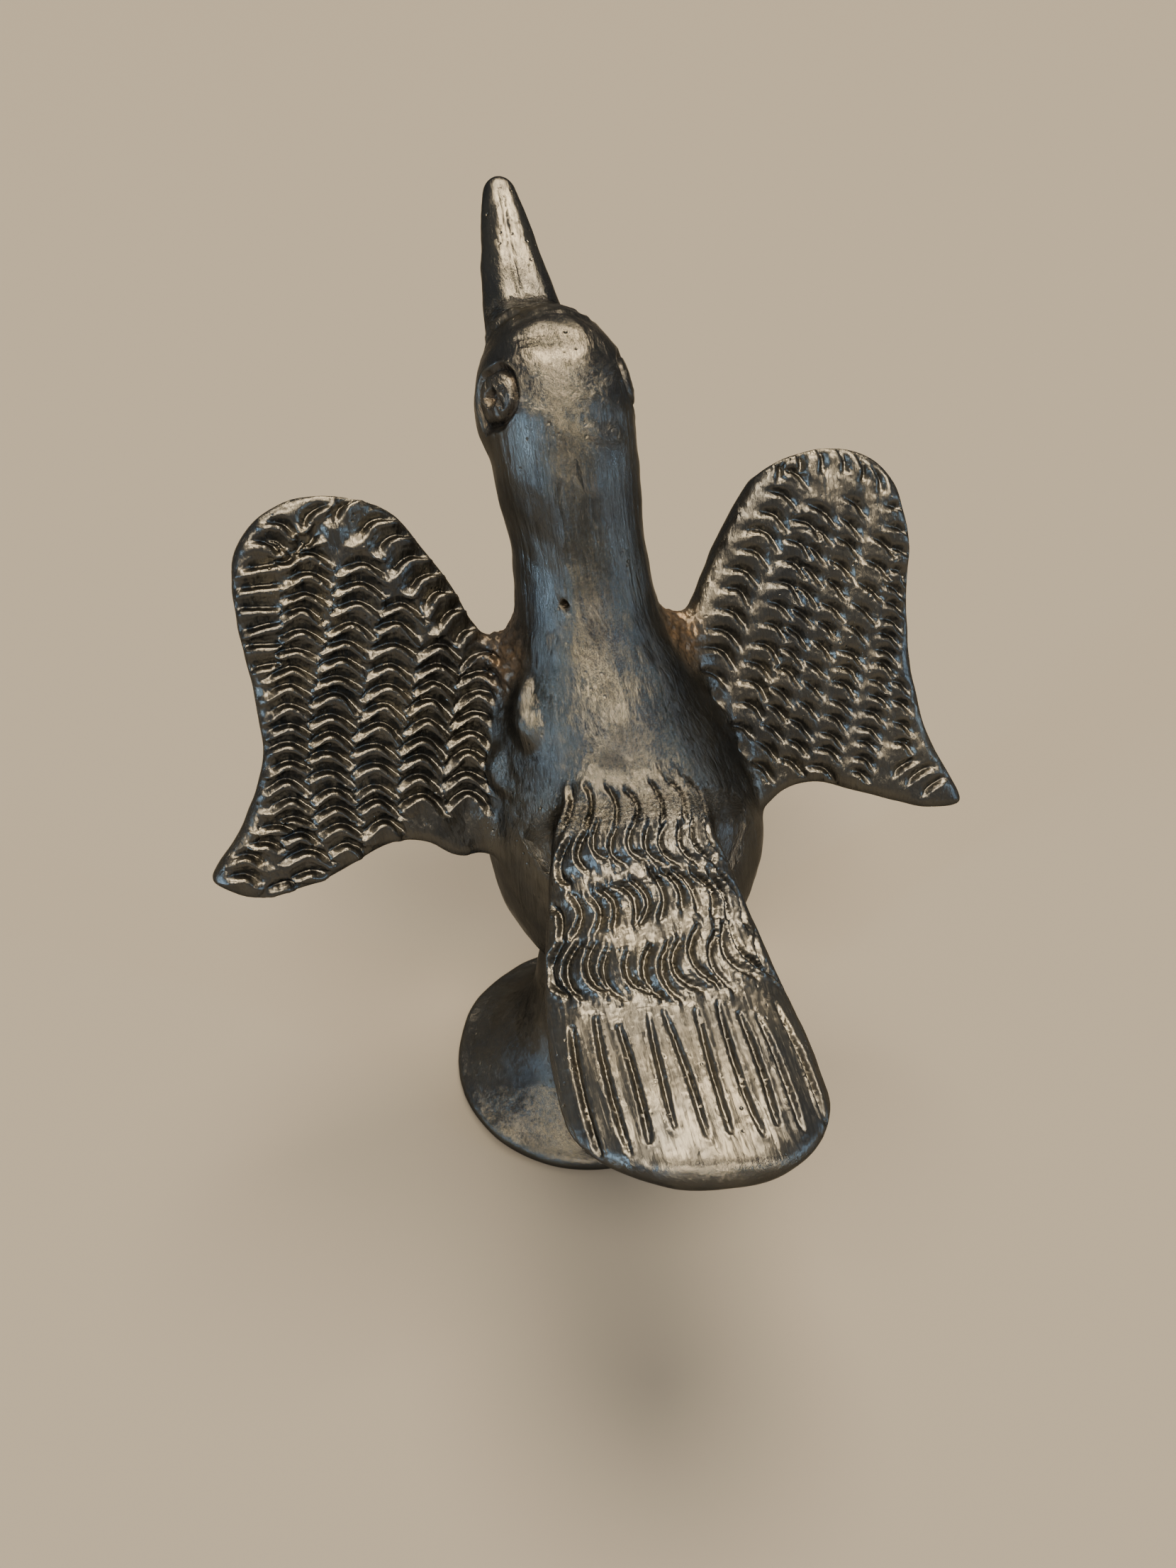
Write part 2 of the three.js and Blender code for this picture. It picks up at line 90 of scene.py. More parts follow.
corner = np.linspace(0, math.pi / 2, 6)
ROUNDING = 1.6
foot_profile = np.concatenate([
    [[0, 0]],
    np.stack([FOOT_RIM - ROUNDING + ROUNDING * np.sin(corner),
              ROUNDING - ROUNDING * np.cos(corner)], -1),
    np.stack([FOOT_RIM - ROUNDING + ROUNDING * np.cos(corner),
              FOOT_EDGE - ROUNDING + ROUNDING * np.sin(corner)], -1),
    bezier((FOOT_RIM - ROUNDING, FOOT_EDGE), (FOOT_RIM - 9.6, FOOT_EDGE + 4.8),
           (STEM, 0.42 * FOOT_HEIGHT), (STEM, FOOT_HEIGHT), 30)[1:],
    [[0, FOOT_HEIGHT + 3]],
])
turn = np.linspace(0, 2 * math.pi, 128, endpoint=False)
closed_skin(np.stack([
    foot_profile[:, :1] * np.cos(turn), foot_profile[:, :1] * np.sin(turn),
    np.repeat(foot_profile[:, 1:], len(turn), 1)], -1))

# Body and neck: one lump, coiled and thinned by hand, full at the back and leaning forward
# as it climbs to the head. Half widths and half depths go by the height above the foot.
TRUNK_LINE = [(-1, 0, -6), (-4, 0, 10), (-5, 0.2, 24), (-3.6, -0.4, 38),
              (-1.9, -3, 49), (-0.6, -8.3, 64), (0.1, -12, 74), (0.5, -15.6, 83)]
TRUNK_HALF_WIDTH = [(-6, 6.35), (0, 7.94), (4.5, 9.8), (10.3, 13.8), (16.7, 17.3), (23.8, 18.9),
                    (31.7, 18.4), (39.7, 15.9), (46, 13.4), (51.6, 10.9), (57.9, 8.9), (65, 8.2),
                    (72, 8.7), (83, 8.6)]
TRUNK_HALF_DEPTH = [(-6, 6.35), (0, 7.94), (4.5, 10.7), (10.3, 16), (16.7, 19.7), (23.8, 21.2),
                    (31.7, 20.4), (39.7, 17), (46, 13.6), (51.6, 11.1), (57.9, 9.3), (65, 8.4),
                    (72, 8.7), (83, 8.6)]
TRUNK_ENDS = (0.02, 0.05)


def spot(left, back, up):
    return np.array([left * SHARE, back * SHARE, FOOT_HEIGHT + up * SHARE])


def reading(pairs, place):
    """A smooth value along a list of (place, value) pairs."""
    x, y = np.array(pairs, float).T
    place = np.asarray(place, float)
    i = np.clip(np.searchsorted(x, place, side="left") - 1, 0, len(x) - 2)
    before, after = np.maximum(i - 1, 0), np.minimum(i + 2, len(x) - 1)
    span = x[i + 1] - x[i]
    t = np.clip((place - x[i]) / span, 0, 1)
    start = (y[i + 1] - y[before]) / (x[i + 1] - x[before]) * span
    end = (y[after] - y[i]) / (x[after] - x[i]) * span
    rise = y[i + 1] - y[i]
    return y[i] + start * t + (3 * rise - 2 * start - end) * t ** 2 + (start + end - 2 * rise) * t ** 3


def line_through(points):
    """A smooth line through points, with its place and direction at each share of its length."""
    p = np.array([spot(*q) for q in points])
    p = np.concatenate([[2 * p[0] - p[1]], p, [2 * p[-1] - p[-2]]])
    run = []
    for a, b, c, d in zip(p, p[1:], p[2:], p[3:]):
        k0, k1, k2 = (np.linalg.norm(v) ** 0.5 for v in (b - a, c - b, d - c))
        m1 = ((b - a) / k0 - (c - a) / (k0 + k1) + (c - b) / k1) * k1
        m2 = ((c - b) / k1 - (d - b) / (k1 + k2) + (d - c) / k2) * k1
        t = np.linspace(0, 1, 80)[:-1, None]
        run.append(b + m1 * t + (3 * (c - b) - 2 * m1 - m2) * t ** 2 + (m1 + m2 - 2 * (c - b)) * t ** 3)
    run = np.concatenate(run + [p[-2:-1]])
    length = np.concatenate([[0], np.cumsum(np.linalg.norm(np.diff(run, axis=0), axis=1))])
    share = length / length[-1]
    slope = np.gradient(run, share, axis=0)
    slope /= np.linalg.norm(slope, axis=1, keepdims=True)

    def at(t):
        t = np.asarray(t, float)
        centre = np.stack([np.interp(t, share, run[:, k]) for k in range(3)], -1)
        tangent = np.stack([np.interp(t, share, slope[:, k]) for k in range(3)], -1)
        return centre, tangent / np.linalg.norm(tangent, axis=-1, keepdims=True)
    at.length = length[-1]
    return at


def round_end(t, length):
    return np.sqrt(np.clip(1 - np.clip(1 - t / length, 0, None) ** 2, 0, None))


def limb(at, t, sides, section):
    """A limb round a line that runs fore and aft, with its section square to the line."""
    centre, tangent = at(t)
    depthwise = np.stack([np.zeros(len(t)), -tangent[:, 2], tangent[:, 1]], -1)
    depthwise /= np.linalg.norm(depthwise, axis=1, keepdims=True)
    angle = np.linspace(0, 2 * math.pi, sides, endpoint=False)
    side, depth, shift = section(t[:, None], np.cos(angle)[None], np.sin(angle)[None], centre)
    closed_skin(centre[:, None] + side[..., None] * np.array([1.0, 0, 0])
                + depth[..., None] * depthwise[:, None] + shift[..., None] * tangent[:, None])


trunk_at = line_through(TRUNK_LINE)


def trunk_section(t, side, depth, centre):
    height = (centre[:, 2:] - FOOT_HEIGHT) / SHARE
    end = round_end(t, TRUNK_ENDS[0]) * round_end(1 - t, TRUNK_ENDS[1])
    wide = side * end * SHARE * reading(TRUNK_HALF_WIDTH, height)
    deep = depth * end * SHARE * reading(TRUNK_HALF_DEPTH, height)
    return wide, deep, 0 * wide


limb(trunk_at, np.linspace(0, 1, 140), 96, trunk_section)

# Head and beak: an egg on the end of the neck, tipped up, with a long thick beak drawn out of it.
# The beak's ridge was pared flat with a blade and its tip is blunt.
HEAD = (0.6, -16.4, 79)
HEAD_SIZE = np.array([9.4, 11.6, 10.3]) * SHARE
HEAD_TIP = math.radians(28)
BEAK_LINE = [(1.7, -15, 79), (2.4, -24, 85.6), (2.8, -32, 92.4), (3, -39.6, BEAK_TIP_UP)]
BEAK_HALF_WIDTH = [(0, 6.4), (0.4, 4.9), (0.75, 3.3), (1, 1.8)]
BEAK_HALF_DEPTH = [(0, 6), (0.4, 4.2), (0.75, 2.9), (1, 1.6)]
BEAK_FLAT = 0.76
BEAK_KEEL = 1.4
BEAK_ENDS = 0.05

head_tip = np.array([[1, 0, 0],
                     [0, math.cos(HEAD_TIP), math.sin(HEAD_TIP)],
                     [0, -math.sin(HEAD_TIP), math.cos(HEAD_TIP)]])
head_centre = spot(*HEAD)
down = np.linspace(0, math.pi, 60)[:, None]
round_ = np.linspace(0, 2 * math.pi, 96, endpoint=False)[None]
egg = np.stack([np.sin(down) * np.cos(round_), np.sin(down) * np.sin(round_),
                np.cos(down) + 0 * round_], -1) * HEAD_SIZE
closed_skin(egg @ head_tip.T + head_centre)

beak_at = line_through(BEAK_LINE)


def beak_section(t, side, depth, centre):
    end = round_end(t, BEAK_ENDS) * round_end(1 - t, BEAK_ENDS)
    wide = SHARE * reading(BEAK_HALF_WIDTH, t)
    deep = SHARE * reading(BEAK_HALF_DEPTH, t)
    keel = (np.abs(side) ** BEAK_KEEL + np.abs(depth) ** BEAK_KEEL) ** (-1 / BEAK_KEEL)
    keel = np.where(depth < 0, keel, 1)
    pared = -np.minimum(-depth * keel, BEAK_FLAT)
    return side * keel * end * wide, pared * end * deep, 0 * side * t


limb(beak_at, np.linspace(0, 1, 110) ** 0.9, 72, beak_section)

# Tail: a broad slab pressed flat between the fingers, drooping from the rump to a wide round end
# that slants to the bird's right. Its end is a thick bullnose.
TAIL_LINE = [(-2.2, 8, 46), (-2, 22, 36.2), (-2.2, 33.5, 29.8), (-2.7, 44, 25.8), (-3.2, 54.6, 23.4)]
TAIL_END_HALF_WIDTH = 14.6
TAIL_HALF_WIDTH = [(0, 5), (0.1, 8), (0.2, 9.7), (0.42, 12.4), (0.64, 14.5), (0.82, 15),
                   (1, TAIL_END_HALF_WIDTH)]
TAIL_THICKNESS = 5.8
TAIL_END = 0.2
TAIL_ROOT = 0.7
TAIL_DOME = 1.6
TAIL_SLANT = 1.6
TAIL_EDGE_ROUNDING = 0.05
tail_at = line_through(TAIL_LINE)


def tail_reach(t):
    return SHARE * reading(TAIL_HALF_WIDTH, t) * round_end(1 - t, TAIL_END)


def tail_section(t, side, depth, centre):
    across = np.sign(side) * np.abs(side) ** 0.7
    thick = TAIL_THICKNESS * (1 + TAIL_ROOT * (1 - t) ** 3)
    thick = thick * round_end(t, TAIL_EDGE_ROUNDING) * round_end(1 - t, TAIL_EDGE_ROUNDING)
    rise = np.sign(depth) * np.clip(1 - np.abs(across) ** 3, 0, None) ** 0.4 * thick / 2
    offset = across * tail_reach(t) / (SHARE * TAIL_END_HALF_WIDTH)
    domed = rise - SHARE * TAIL_DOME * offset ** 2
    return across * tail_reach(t), domed, -SHARE * TAIL_SLANT * offset * t


limb(tail_at, np.sin(np.linspace(0, math.pi / 2, 120)), 112, tail_section)

# Wings: two slabs cut with a knife and pressed on behind the shoulders. They lean forward at the
# top and sweep back at the tips, and a lump of clay at each shoulder holds them to the neck.
WING_THICKNESS = 5.0
WING_BEVEL = 0.42
WING_LEAN = math.radians(30)
WING_SWEEP = math.radians(10)
WING_ROOT = (-1.6, -2.4, 42.9)
WING_HALF_GAP = 15.9
WING_TOP = [(-13, -6), (-10, 5), (-3.8, 12), (-0.1, 20.4), (4.3, 28.3), (7.9, 31), (12.2, 32.3),
            (16.7, 32.1), (20.9, 30.2), (23.7, 26.7), (25.2, 20), (25.4, 10), (26.3, 3)]
WING_TIP = {1: [(30.1, -3.8), (34.6, -8.6), (35.3, -10.4), (31.8, -13.2), (27.6, -13.8)],
            -1: [(29.6, -6.6), (33.3, -12.6), (33.2, -14.7), (28.8, -14.9)]}
WING_BOTTOM = [(22.4, -13.3), (18, -12.1), (13.6, -11.1), (9.3, -12.1), (4, -15.6), (-9, -15)]
SHOULDER = (9.8, -6.6, 50)
SHOULDER_SIZE = np.array([4.4, 3.8, 5]) * SHARE


def wing_frame(side):
    out = np.array([side * math.cos(WING_SWEEP), math.sin(WING_SWEEP), 0])
    behind = np.array([-side * math.sin(WING_SWEEP), math.cos(WING_SWEEP), 0])
    up = np.array([0, 0, math.cos(WING_LEAN)]) - behind * math.sin(WING_LEAN)
    back = np.array([0, 0, math.sin(WING_LEAN)]) + behind * math.cos(WING_LEAN)
    return spot(WING_ROOT[0] + side * WING_HALF_GAP, *WING_ROOT[1:]), out, up, back


def wing_edge(side):
    """The wing's outline in its own plane, as evenly spaced points."""
    p = np.array(WING_TOP + WING_TIP[side] + WING_BOTTOM) * SHARE
    t = np.linspace(0, 1, 20, endpoint=False)[:, None]
    run = []
    for a, b, c, d in zip(np.roll(p, 1, 0), p, np.roll(p, -1, 0), np.roll(p, -2, 0)):
        m1, m2 = (c - a) / 2, (d - b) / 2
        run.append(b + m1 * t + (3 * (c - b) - 2 * m1 - m2) * t ** 2 + (m1 + m2 - 2 * (c - b)) * t ** 3)
    run = np.concatenate(run)
    around = np.linalg.norm(np.diff(run, axis=0, append=run[:1]), axis=1)
    length = np.concatenate([[0], np.cumsum(around)])
    even = np.linspace(0, length[-1], 240, endpoint=False)
    return np.stack([np.interp(even, length, np.append(run[:, k], run[0, k])) for k in range(2)], -1)


for side in (1, -1):
    centre, out, up, back = wing_frame(side)
    edge = wing_edge(side)
    along_edge = np.roll(edge, -1, 0) - np.roll(edge, 1, 0)
    inward = np.stack([along_edge[:, 1], -along_edge[:, 0]], -1)
    inward /= np.linalg.norm(inward, axis=1, keepdims=True)
    bevel = WING_THICKNESS * WING_BEVEL
    rings = []
    for k in np.linspace(-math.pi / 2, math.pi / 2, 13):
        ring = edge + inward * bevel * 0.95 * (1 - math.cos(k))
        lift = math.sin(k) * bevel + np.sign(k) * (WING_THICKNESS / 2 - bevel) * (abs(k) > 1e-6)
        rings.append(centre + ring[:, :1] * out + ring[:, 1:] * up + lift * back)
    rings = np.array(rings)
    rows, sides = rings.shape[:2]
    first = np.arange(rows)[:, None] * sides + np.arange(sides)[None]
    after = np.roll(first, -1, axis=1)
    walls = np.stack([first[:-1], after[:-1], after[1:], first[1:]], -1).reshape(-1, 4).tolist()
    lumps.append((rings.reshape(-1, 3), walls + [first[0][::-1].tolist(), first[-1].tolist()]))
    shoulder = spot(WING_ROOT[0] + side * SHOULDER[0], *SHOULDER[1:])
    closed_skin(egg / HEAD_SIZE * SHOULDER_SIZE + shoulder)

# Joining: the lumps are pressed into one piece of clay, and the joints are smoothed over with a
# wet finger, which fills the hollows and leaves the edges. Dents and flats of the hand follow.
CLAY_GRAIN = 0.31
SMOOTHING_STROKES = 150
WEB_STROKES = 160
HOLLOW_PULL = 0.8
EDGE_PULL = 0.05
WING_INNER = 1.4 * SHARE
WING_INNER_SLOPE = {"above": 0.36, "below": 0.17}
HAND_DENT = 0.13
FINGER_DENT = 0.05
HEAD_REACH = (12.5, 15)
CROWN_FLATS = (((0.06, 0.35, 0.93), 0.85), ((0.35, 0.3, 0.9), 0.5), ((-0.42, 0.87, 0.26), 0.45))
SHOULDER_FILLS = (((11.4, 5.9, 98.1), (0.2, 0.67, 0.71), 7.5),
                  ((15.2, 5.6, 86.6), (0.6, 0.66, 0.45), 5.0))
FILL_DEPTH = 3.0
FLAT_PRESS = 0.7
FILL_PRESS = 0.85


def mesh_of(points, faces, name):
    mesh = bpy.data.meshes.new(name)
    mesh.from_pydata((np.asarray(points) * 0.001).tolist(), [], faces)
    mesh.update()
    return mesh


every_point, every_face, start = [], [], 0
for points, faces in lumps:
    every_point.append(points)
    every_face += [[i + start for i in face] for face in faces]
    start += len(points)
rough = bpy.data.objects.new("rough", mesh_of(np.concatenate(every_point), every_face, "rough"))
bpy.context.scene.collection.objects.link(rough)
remesh = rough.modifiers.new("join", "REMESH")
remesh.mode = "VOXEL"
remesh.voxel_size = CLAY_GRAIN * 0.001
remesh.adaptivity = 0
rough_ready = rough.evaluated_get(bpy.context.evaluated_depsgraph_get())
clay = bpy.data.meshes.new_from_object(rough_ready)
bpy.data.objects.remove(rough)

count = len(clay.vertices)
co = np.empty(count * 3)
clay.vertices.foreach_get("co", co)
co = co.reshape(-1, 3) * 1000
pairs = np.empty(len(clay.edges) * 2, int)
clay.edges.foreach_get("vertices", pairs)
pairs = pairs.reshape(-1, 2)
quads = np.empty(len(clay.loops), int)
clay.loops.foreach_get("vertex_index", quads)
quads = quads.reshape(-1, 4)
touching = np.bincount(pairs.ravel(), minlength=count)[:, None]


def settle(co):
    """Each point's pull towards the middle of its neighbours."""
    one, other = pairs.T
    middle = np.stack([np.bincount(one, co[other, k], count) + np.bincount(other, co[one, k], count)
                       for k in range(3)], -1)
    return middle / touching - co


def facing(co):
    face = np.cross(co[quads[:, 2]] - co[quads[:, 0]], co[quads[:, 3]] - co[quads[:, 1]])
    total = np.stack([sum(np.bincount(quads[:, c], face[:, k], count) for c in range(4))
                      for k in range(3)], -1)
    return total / np.linalg.norm(total, axis=1, keepdims=True)


for _ in range(3):
    co += 0.6 * settle(co)
for stroke in range(SMOOTHING_STROKES):
    if stroke % 10 == 0:
        normal = facing(co)
    pull = settle(co)
    hollow = (pull * normal).sum(1, keepdims=True)
    co += pull * np.where(hollow > 0.0015, HOLLOW_PULL, EDGE_PULL)
co += 0.5 * settle(co)


def wing_slope(height):
    """How fast the inner end of the marks leans outwards with the height in the wing's plane."""
    return np.where(height > 0, WING_INNER_SLOPE["above"], WING_INNER_SLOPE["below"])


# Wing roots, stem and throat are rubbed longer than the rest, until no seam is left there.
ROOT_INWARDS, ROOT_OUTWARDS = -11, 4
ROOT_FRONT, ROOT_BACK, ROOT_TOP = -1, 14, 17
STEM_RUBBED = 5
THROAT_DOWN, THROAT_RUBBED = 9, 5.5
at_root = np.zeros(count, bool)
for side in (1, -1):
    centre, out, up, back = wing_frame(side)
    reach = co - centre
    inner = reach @ out + WING_INNER + (reach @ up) * wing_slope(reach @ up)
    behind = reach @ back
    at_root |= ((inner > ROOT_INWARDS) & (inner < ROOT_OUTWARDS) & (behind > ROOT_FRONT)
                & (behind < ROOT_BACK) & (reach @ up < ROOT_TOP))
at_root |= np.abs(co[:, 2] - FOOT_HEIGHT - 1.5) < STEM_RUBBED
throat_drop = np.abs(co[:, 2] - head_centre[2] + THROAT_DOWN)
at_root |= (throat_drop < THROAT_RUBBED) & (co[:, 1] < head_centre[1] + 2)
every_pair, every_touch = pairs, touching
pairs = pairs[at_root[pairs].any(1)]
touching = np.maximum(np.bincount(pairs.ravel(), minlength=count), 1)[:, None]
for _ in range(WEB_STROKES):
    co += settle(co) * (at_root[:, None] * HOLLOW_PULL)
pairs, touching = every_pair, every_touch
for _ in range(4):
    co += 0.5 * settle(co)
normal = facing(co)


def step(x, low, high):
    t = np.clip((x - low) / (high - low), 0, 1)
    return t * t * (3 - 2 * t)


def unevenness(p, size, seed, waves=14):
    """Soft lumps about as large as `size`, between about -1 and 1."""
    rng = np.random.default_rng(seed)
    total = np.zeros(len(p))
    for _ in range(waves):
        way = rng.normal(size=3)
        way *= 2 * math.pi / size / np.linalg.norm(way) * rng.uniform(0.6, 1.4)
        total += np.sin(p @ way + rng.uniform(0, 6.28))
    return total / math.sqrt(waves)


on_floor = step(co[:, 2], 0.2, 2.5)
dents = HAND_DENT * unevenness(co, 14, 3) + FINGER_DENT * unevenness(co, 5, 4)
co += normal * (on_floor * dents)[:, None]
on_head = 1 - step(np.linalg.norm(co - head_centre, axis=1), *HEAD_REACH)
for flat, depth in CROWN_FLATS:
    flat = np.array(flat) / np.linalg.norm(flat)
    reach = (co - head_centre) @ flat - np.linalg.norm((flat @ head_tip) * HEAD_SIZE) + depth
    reach += 0.12 * unevenness(co, 4, 8)
    co -= flat * (np.maximum(reach, 0) * FLAT_PRESS * on_head)[:, None]
for corner, flat, reach_out in SHOULDER_FILLS:
    corner, flat = np.array(corner), np.array(flat) / np.linalg.norm(flat)
    in_corner = 1 - step(np.linalg.norm(co - corner, axis=1), 0.45 * reach_out, reach_out)
    hollow = np.clip((corner - co) @ flat + 0.12 * unevenness(co, 4, 9), 0, FILL_DEPTH)
    co += flat * (hollow * in_corner * FILL_PRESS)[:, None]
normal = facing(co)

# Eyes and vent: a ring scribed round a raised disc with a pit in its middle, high on each side of
# the head, and a small hole low on the back of the neck that lets the firing steam out.
EYE_RADIUS = 4.2
EYE_PLACE = {1: np.array([0.84, 0.2, 0.5]), -1: np.array([-0.93, 0.02, 0.37])}
EYE_REACH = 9
EYE_RING_DEPTH = 1.0
EYE_RING_WIDTH = 0.5
EYE_LIP = 0.12
EYE_LIP_OUT = 0.9
EYE_DISC_RISE = 0.5
EYE_PIT_DEPTH = 1.4
EYE_PIT_EDGE = (0.5, 1.5)
VENT = spot(2.9, 0.6, 62.4)
VENT_DEPTH = 1.6
VENT_RAGGED_EDGE = (0.25, 0.8)
# Earth colour for each point: real brown earth on the shoulder webs and the eye discs, and painted
# shade in the eye rings, the eye pits and the vent hole.
earth_and_shade = np.zeros(count)
rough_clay = np.zeros(count)
for side in (1, -1):
    place = EYE_PLACE[side] / np.linalg.norm(EYE_PLACE[side])
    look = head_tip @ (place / HEAD_SIZE)
    look /= np.linalg.norm(look)
    centre = head_tip @ (place * HEAD_SIZE) + head_centre
    reach = co - centre
    flat = reach - (reach @ look)[:, None] * look
    r = np.linalg.norm(flat, axis=1) * (1 + 0.05 * unevenness(co, 5, 11))
    near = (np.linalg.norm(reach, axis=1) < EYE_REACH) * (normal @ look > 0)
    ring = np.exp(-((r - EYE_RADIUS) / EYE_RING_WIDTH) ** 2)
    lip = np.exp(-((r - EYE_RADIUS - EYE_LIP_OUT) / EYE_RING_WIDTH) ** 2)
    disc = np.clip(1 - (r / (EYE_RADIUS - 0.3)) ** 2, 0, 1) * (0.6 + 0.4 * side)
    pit = 1 - step(r, *EYE_PIT_EDGE)
    height = -EYE_RING_DEPTH * ring + EYE_LIP * lip + EYE_DISC_RISE * disc - EYE_PIT_DEPTH * pit
    height += 0.16 * disc * unevenness(co, 1.5, 12)
    co += normal * (near * height)[:, None]
    # Painted shade: the earth colour is laid darkest in the ring groove and less in the pit, where
    # shade falls; the little on the disc is its own brown earth.
    earth_and_shade = np.maximum(earth_and_shade, near * (0.55 * ring + 0.35 * pit + 0.25 * disc))
    rough_clay = np.maximum(rough_clay, near * disc)
vent_reach = np.linalg.norm(co - VENT, axis=1)
vent_nearest = co[np.argmin(vent_reach)]
vent_reach = np.linalg.norm(co - vent_nearest, axis=1)
vent_reach *= 1 + 0.2 * unevenness(co, 1.5, 13)
co -= normal * (VENT_DEPTH * (1 - step(vent_reach, *VENT_RAGGED_EDGE)))[:, None]
# Painted shade: the earth colour darkens the vent hole and the clay just round it.
earth_and_shade = np.maximum(earth_and_shade, 0.5 * (1 - step(vent_reach, 0.3, 0.9)))

# Beak finish: a thin line scratched along the pared ridge, and a ragged step where the beak
# meets the brow.
BEAK_READINGS = 90
CULMEN_FROM = (0.38, 0.46)
SCRATCH_DEPTH = 0.28
SCRATCH_WIDTH = 0.28
SCRATCH_END = (0.9, 0.97)
BROW_LINE = 0.352
BROW_SKIN = 0.28
beak_shares = np.linspace(0, 1, BEAK_READINGS)
beak_centre, _ = beak_at(beak_shares)
nearby = np.flatnonzero((co[:, 1] < -22) & (co[:, 2] > 136))
gap = np.linalg.norm(co[nearby][:, None] - beak_centre[None], axis=2)
beak_t = np.zeros(count)
beak_t[nearby] = np.argmin(gap, axis=1) / (BEAK_READINGS - 1.0)
beak_side = np.zeros(count)
beak_side[nearby] = co[nearby, 0] - np.interp(beak_t[nearby], beak_shares, beak_centre[:, 0])
culmen = step(normal[:, 2], 0.35, 0.7) * step(beak_t, *CULMEN_FROM)
scratch = np.exp(-((beak_side - 0.35 + 0.25 * np.sin(beak_t * 9)) / SCRATCH_WIDTH) ** 2)
scratch = scratch * (1 - step(beak_t, *SCRATCH_END))
co -= normal * (SCRATCH_DEPTH * culmen * scratch)[:, None]
brow_line = BROW_LINE + 0.012 * unevenness(co, 7, 21)
skin = step(beak_t, 0.2, 0.33) * (1 - step(beak_t, brow_line, brow_line + 0.01))
skin = skin * step(normal[:, 2], 0.0, 0.4)
co += normal * (skin * (BROW_SKIN + 0.15 * unevenness(co, 2.2, 22)))[:, None]
rough_clay = np.maximum(rough_clay, 0.7 * np.exp(-((beak_t - 0.34) / 0.07) ** 2) * (beak_t > 0))
normal = facing(co)

# Grain: the way in which the burnishing stone went, up the body and neck and along beak and tail,
# kept on the clay so that the fine strokes of the finish can follow it.
BODY_STRETCH = 0.06
LIMB_STRETCH = 0.09
line_t = np.linspace(0, 1, 200)
trunk_centre, _ = trunk_at(line_t)
order = np.argsort(trunk_centre[:, 2])
trunk_x = np.interp(co[:, 2], trunk_centre[order, 2], trunk_centre[order, 0])
trunk_y = np.interp(co[:, 2], trunk_centre[order, 2], trunk_centre[order, 1])
crown = step(normal[:, 2], 0.3, 0.8) * (co[:, 2] > 125)
body_grain = np.stack([co[:, 0] - trunk_x, (co[:, 1] - trunk_y) * (1 - 0.8 * crown),
                       co[:, 2] * BODY_STRETCH], -1)

tail_centre, _ = tail_at(line_t)
behind = np.flatnonzero((co[:, 1] > 14) & (co[:, 2] > 55) & (co[:, 2] < 100))
tail_t = np.full(count, -1.0)
for part in np.array_split(behind, 40):
    gap = (co[part, None, 1:] - tail_centre[None, :, 1:])
    tail_t[part] = line_t[np.argmin((gap ** 2).sum(2), axis=1)]
tail_middle, tail_along = tail_at(np.clip(tail_t, 0, 1))
tail_offset = co[:, 0] - tail_middle[:, 0]
slanted = TAIL_SLANT * tail_offset / TAIL_END_HALF_WIDTH * np.clip(tail_t, 0, 1) / tail_at.length
tail_t += slanted * (tail_t > 0)
tail_up = np.stack([np.zeros(count), -tail_along[:, 2], tail_along[:, 1]], -1)
tail_height = ((co - tail_middle) * tail_up).sum(1)
tail_across = tail_offset / np.maximum(tail_reach(np.clip(tail_t, 0, 0.8)), 1)
tail_part = (tail_t > 0) * step(tail_t, 0.12, 0.2) * step(tail_height, -9, -7)
tail_grain = np.stack([tail_offset, tail_height, tail_t * tail_at.length * LIMB_STRETCH], -1)
beak_grain = np.stack([beak_side, co[:, 2] * 0.3, beak_t * 60 * LIMB_STRETCH], -1)
is_beak = step(beak_t, 0.36, 0.42)[:, None]
grain = body_grain * (1 - tail_part[:, None]) + tail_grain * tail_part[:, None]
grain = grain * (1 - is_beak) + beak_grain * is_beak

# Wing and tail backs: flat charts of the faces that carry the marks, in millimetres, with a field
# that fades out where the face rolls over its edge or runs into the body.
TAIL_CHART_HALF_WIDTH = 18.5
WEB_REACH = (3.5, 8)
WEB_DIRT = 0.8
WEB_LUMP = 0.16
WEB_CRUMB = 0.15
charts, fields = {}, {}
for name, side in (("left_wing", 1), ("right_wing", -1)):
    centre, out, up, back = wing_frame(side)
    reach = co - centre
    chart = np.stack([reach @ out, reach @ up, np.zeros(count)], -1)
    lift = reach @ back
    inner = -WING_INNER - chart[:, 1] * wing_slope(chart[:, 1])
    beyond = step(chart[:, 0] - inner, -0.5, 1.5) * step(lift, 0.5, 1.5)
    fields[name] = beyond * step(normal @ back, 0.35, 0.7) * (1 - step(lift, 4.5, 6.5))
    charts[name] = chart
    shoulder = spot(WING_ROOT[0] + side * SHOULDER[0], *SHOULDER[1:]) + (0, 1.5, 2.5)
    web = 1 - step(np.linalg.norm((co - shoulder) * (1, 0.8, 0.75), axis=1), *WEB_REACH)
    lumpy = WEB_LUMP * unevenness(co, 3.2, 31 + side) + WEB_CRUMB * unevenness(co, 1.3, 33 + side)
    co += normal * (web * lumpy)[:, None]
    earth_and_shade = np.maximum(earth_and_shade, WEB_DIRT * web)
    rough_clay = np.maximum(rough_clay, 0.6 * web)
tail_top = step((normal * tail_up).sum(1), 0.3, 0.65) * step(tail_height, -4, -2)
tail_top *= step(tail_t, 0.05, 0.12) * (1 - step(tail_t, 0.94, 0.98))
charts["tail_root"] = np.stack([tail_across * TAIL_CHART_HALF_WIDTH, tail_t * tail_at.length,
                                np.zeros(count)], -1)
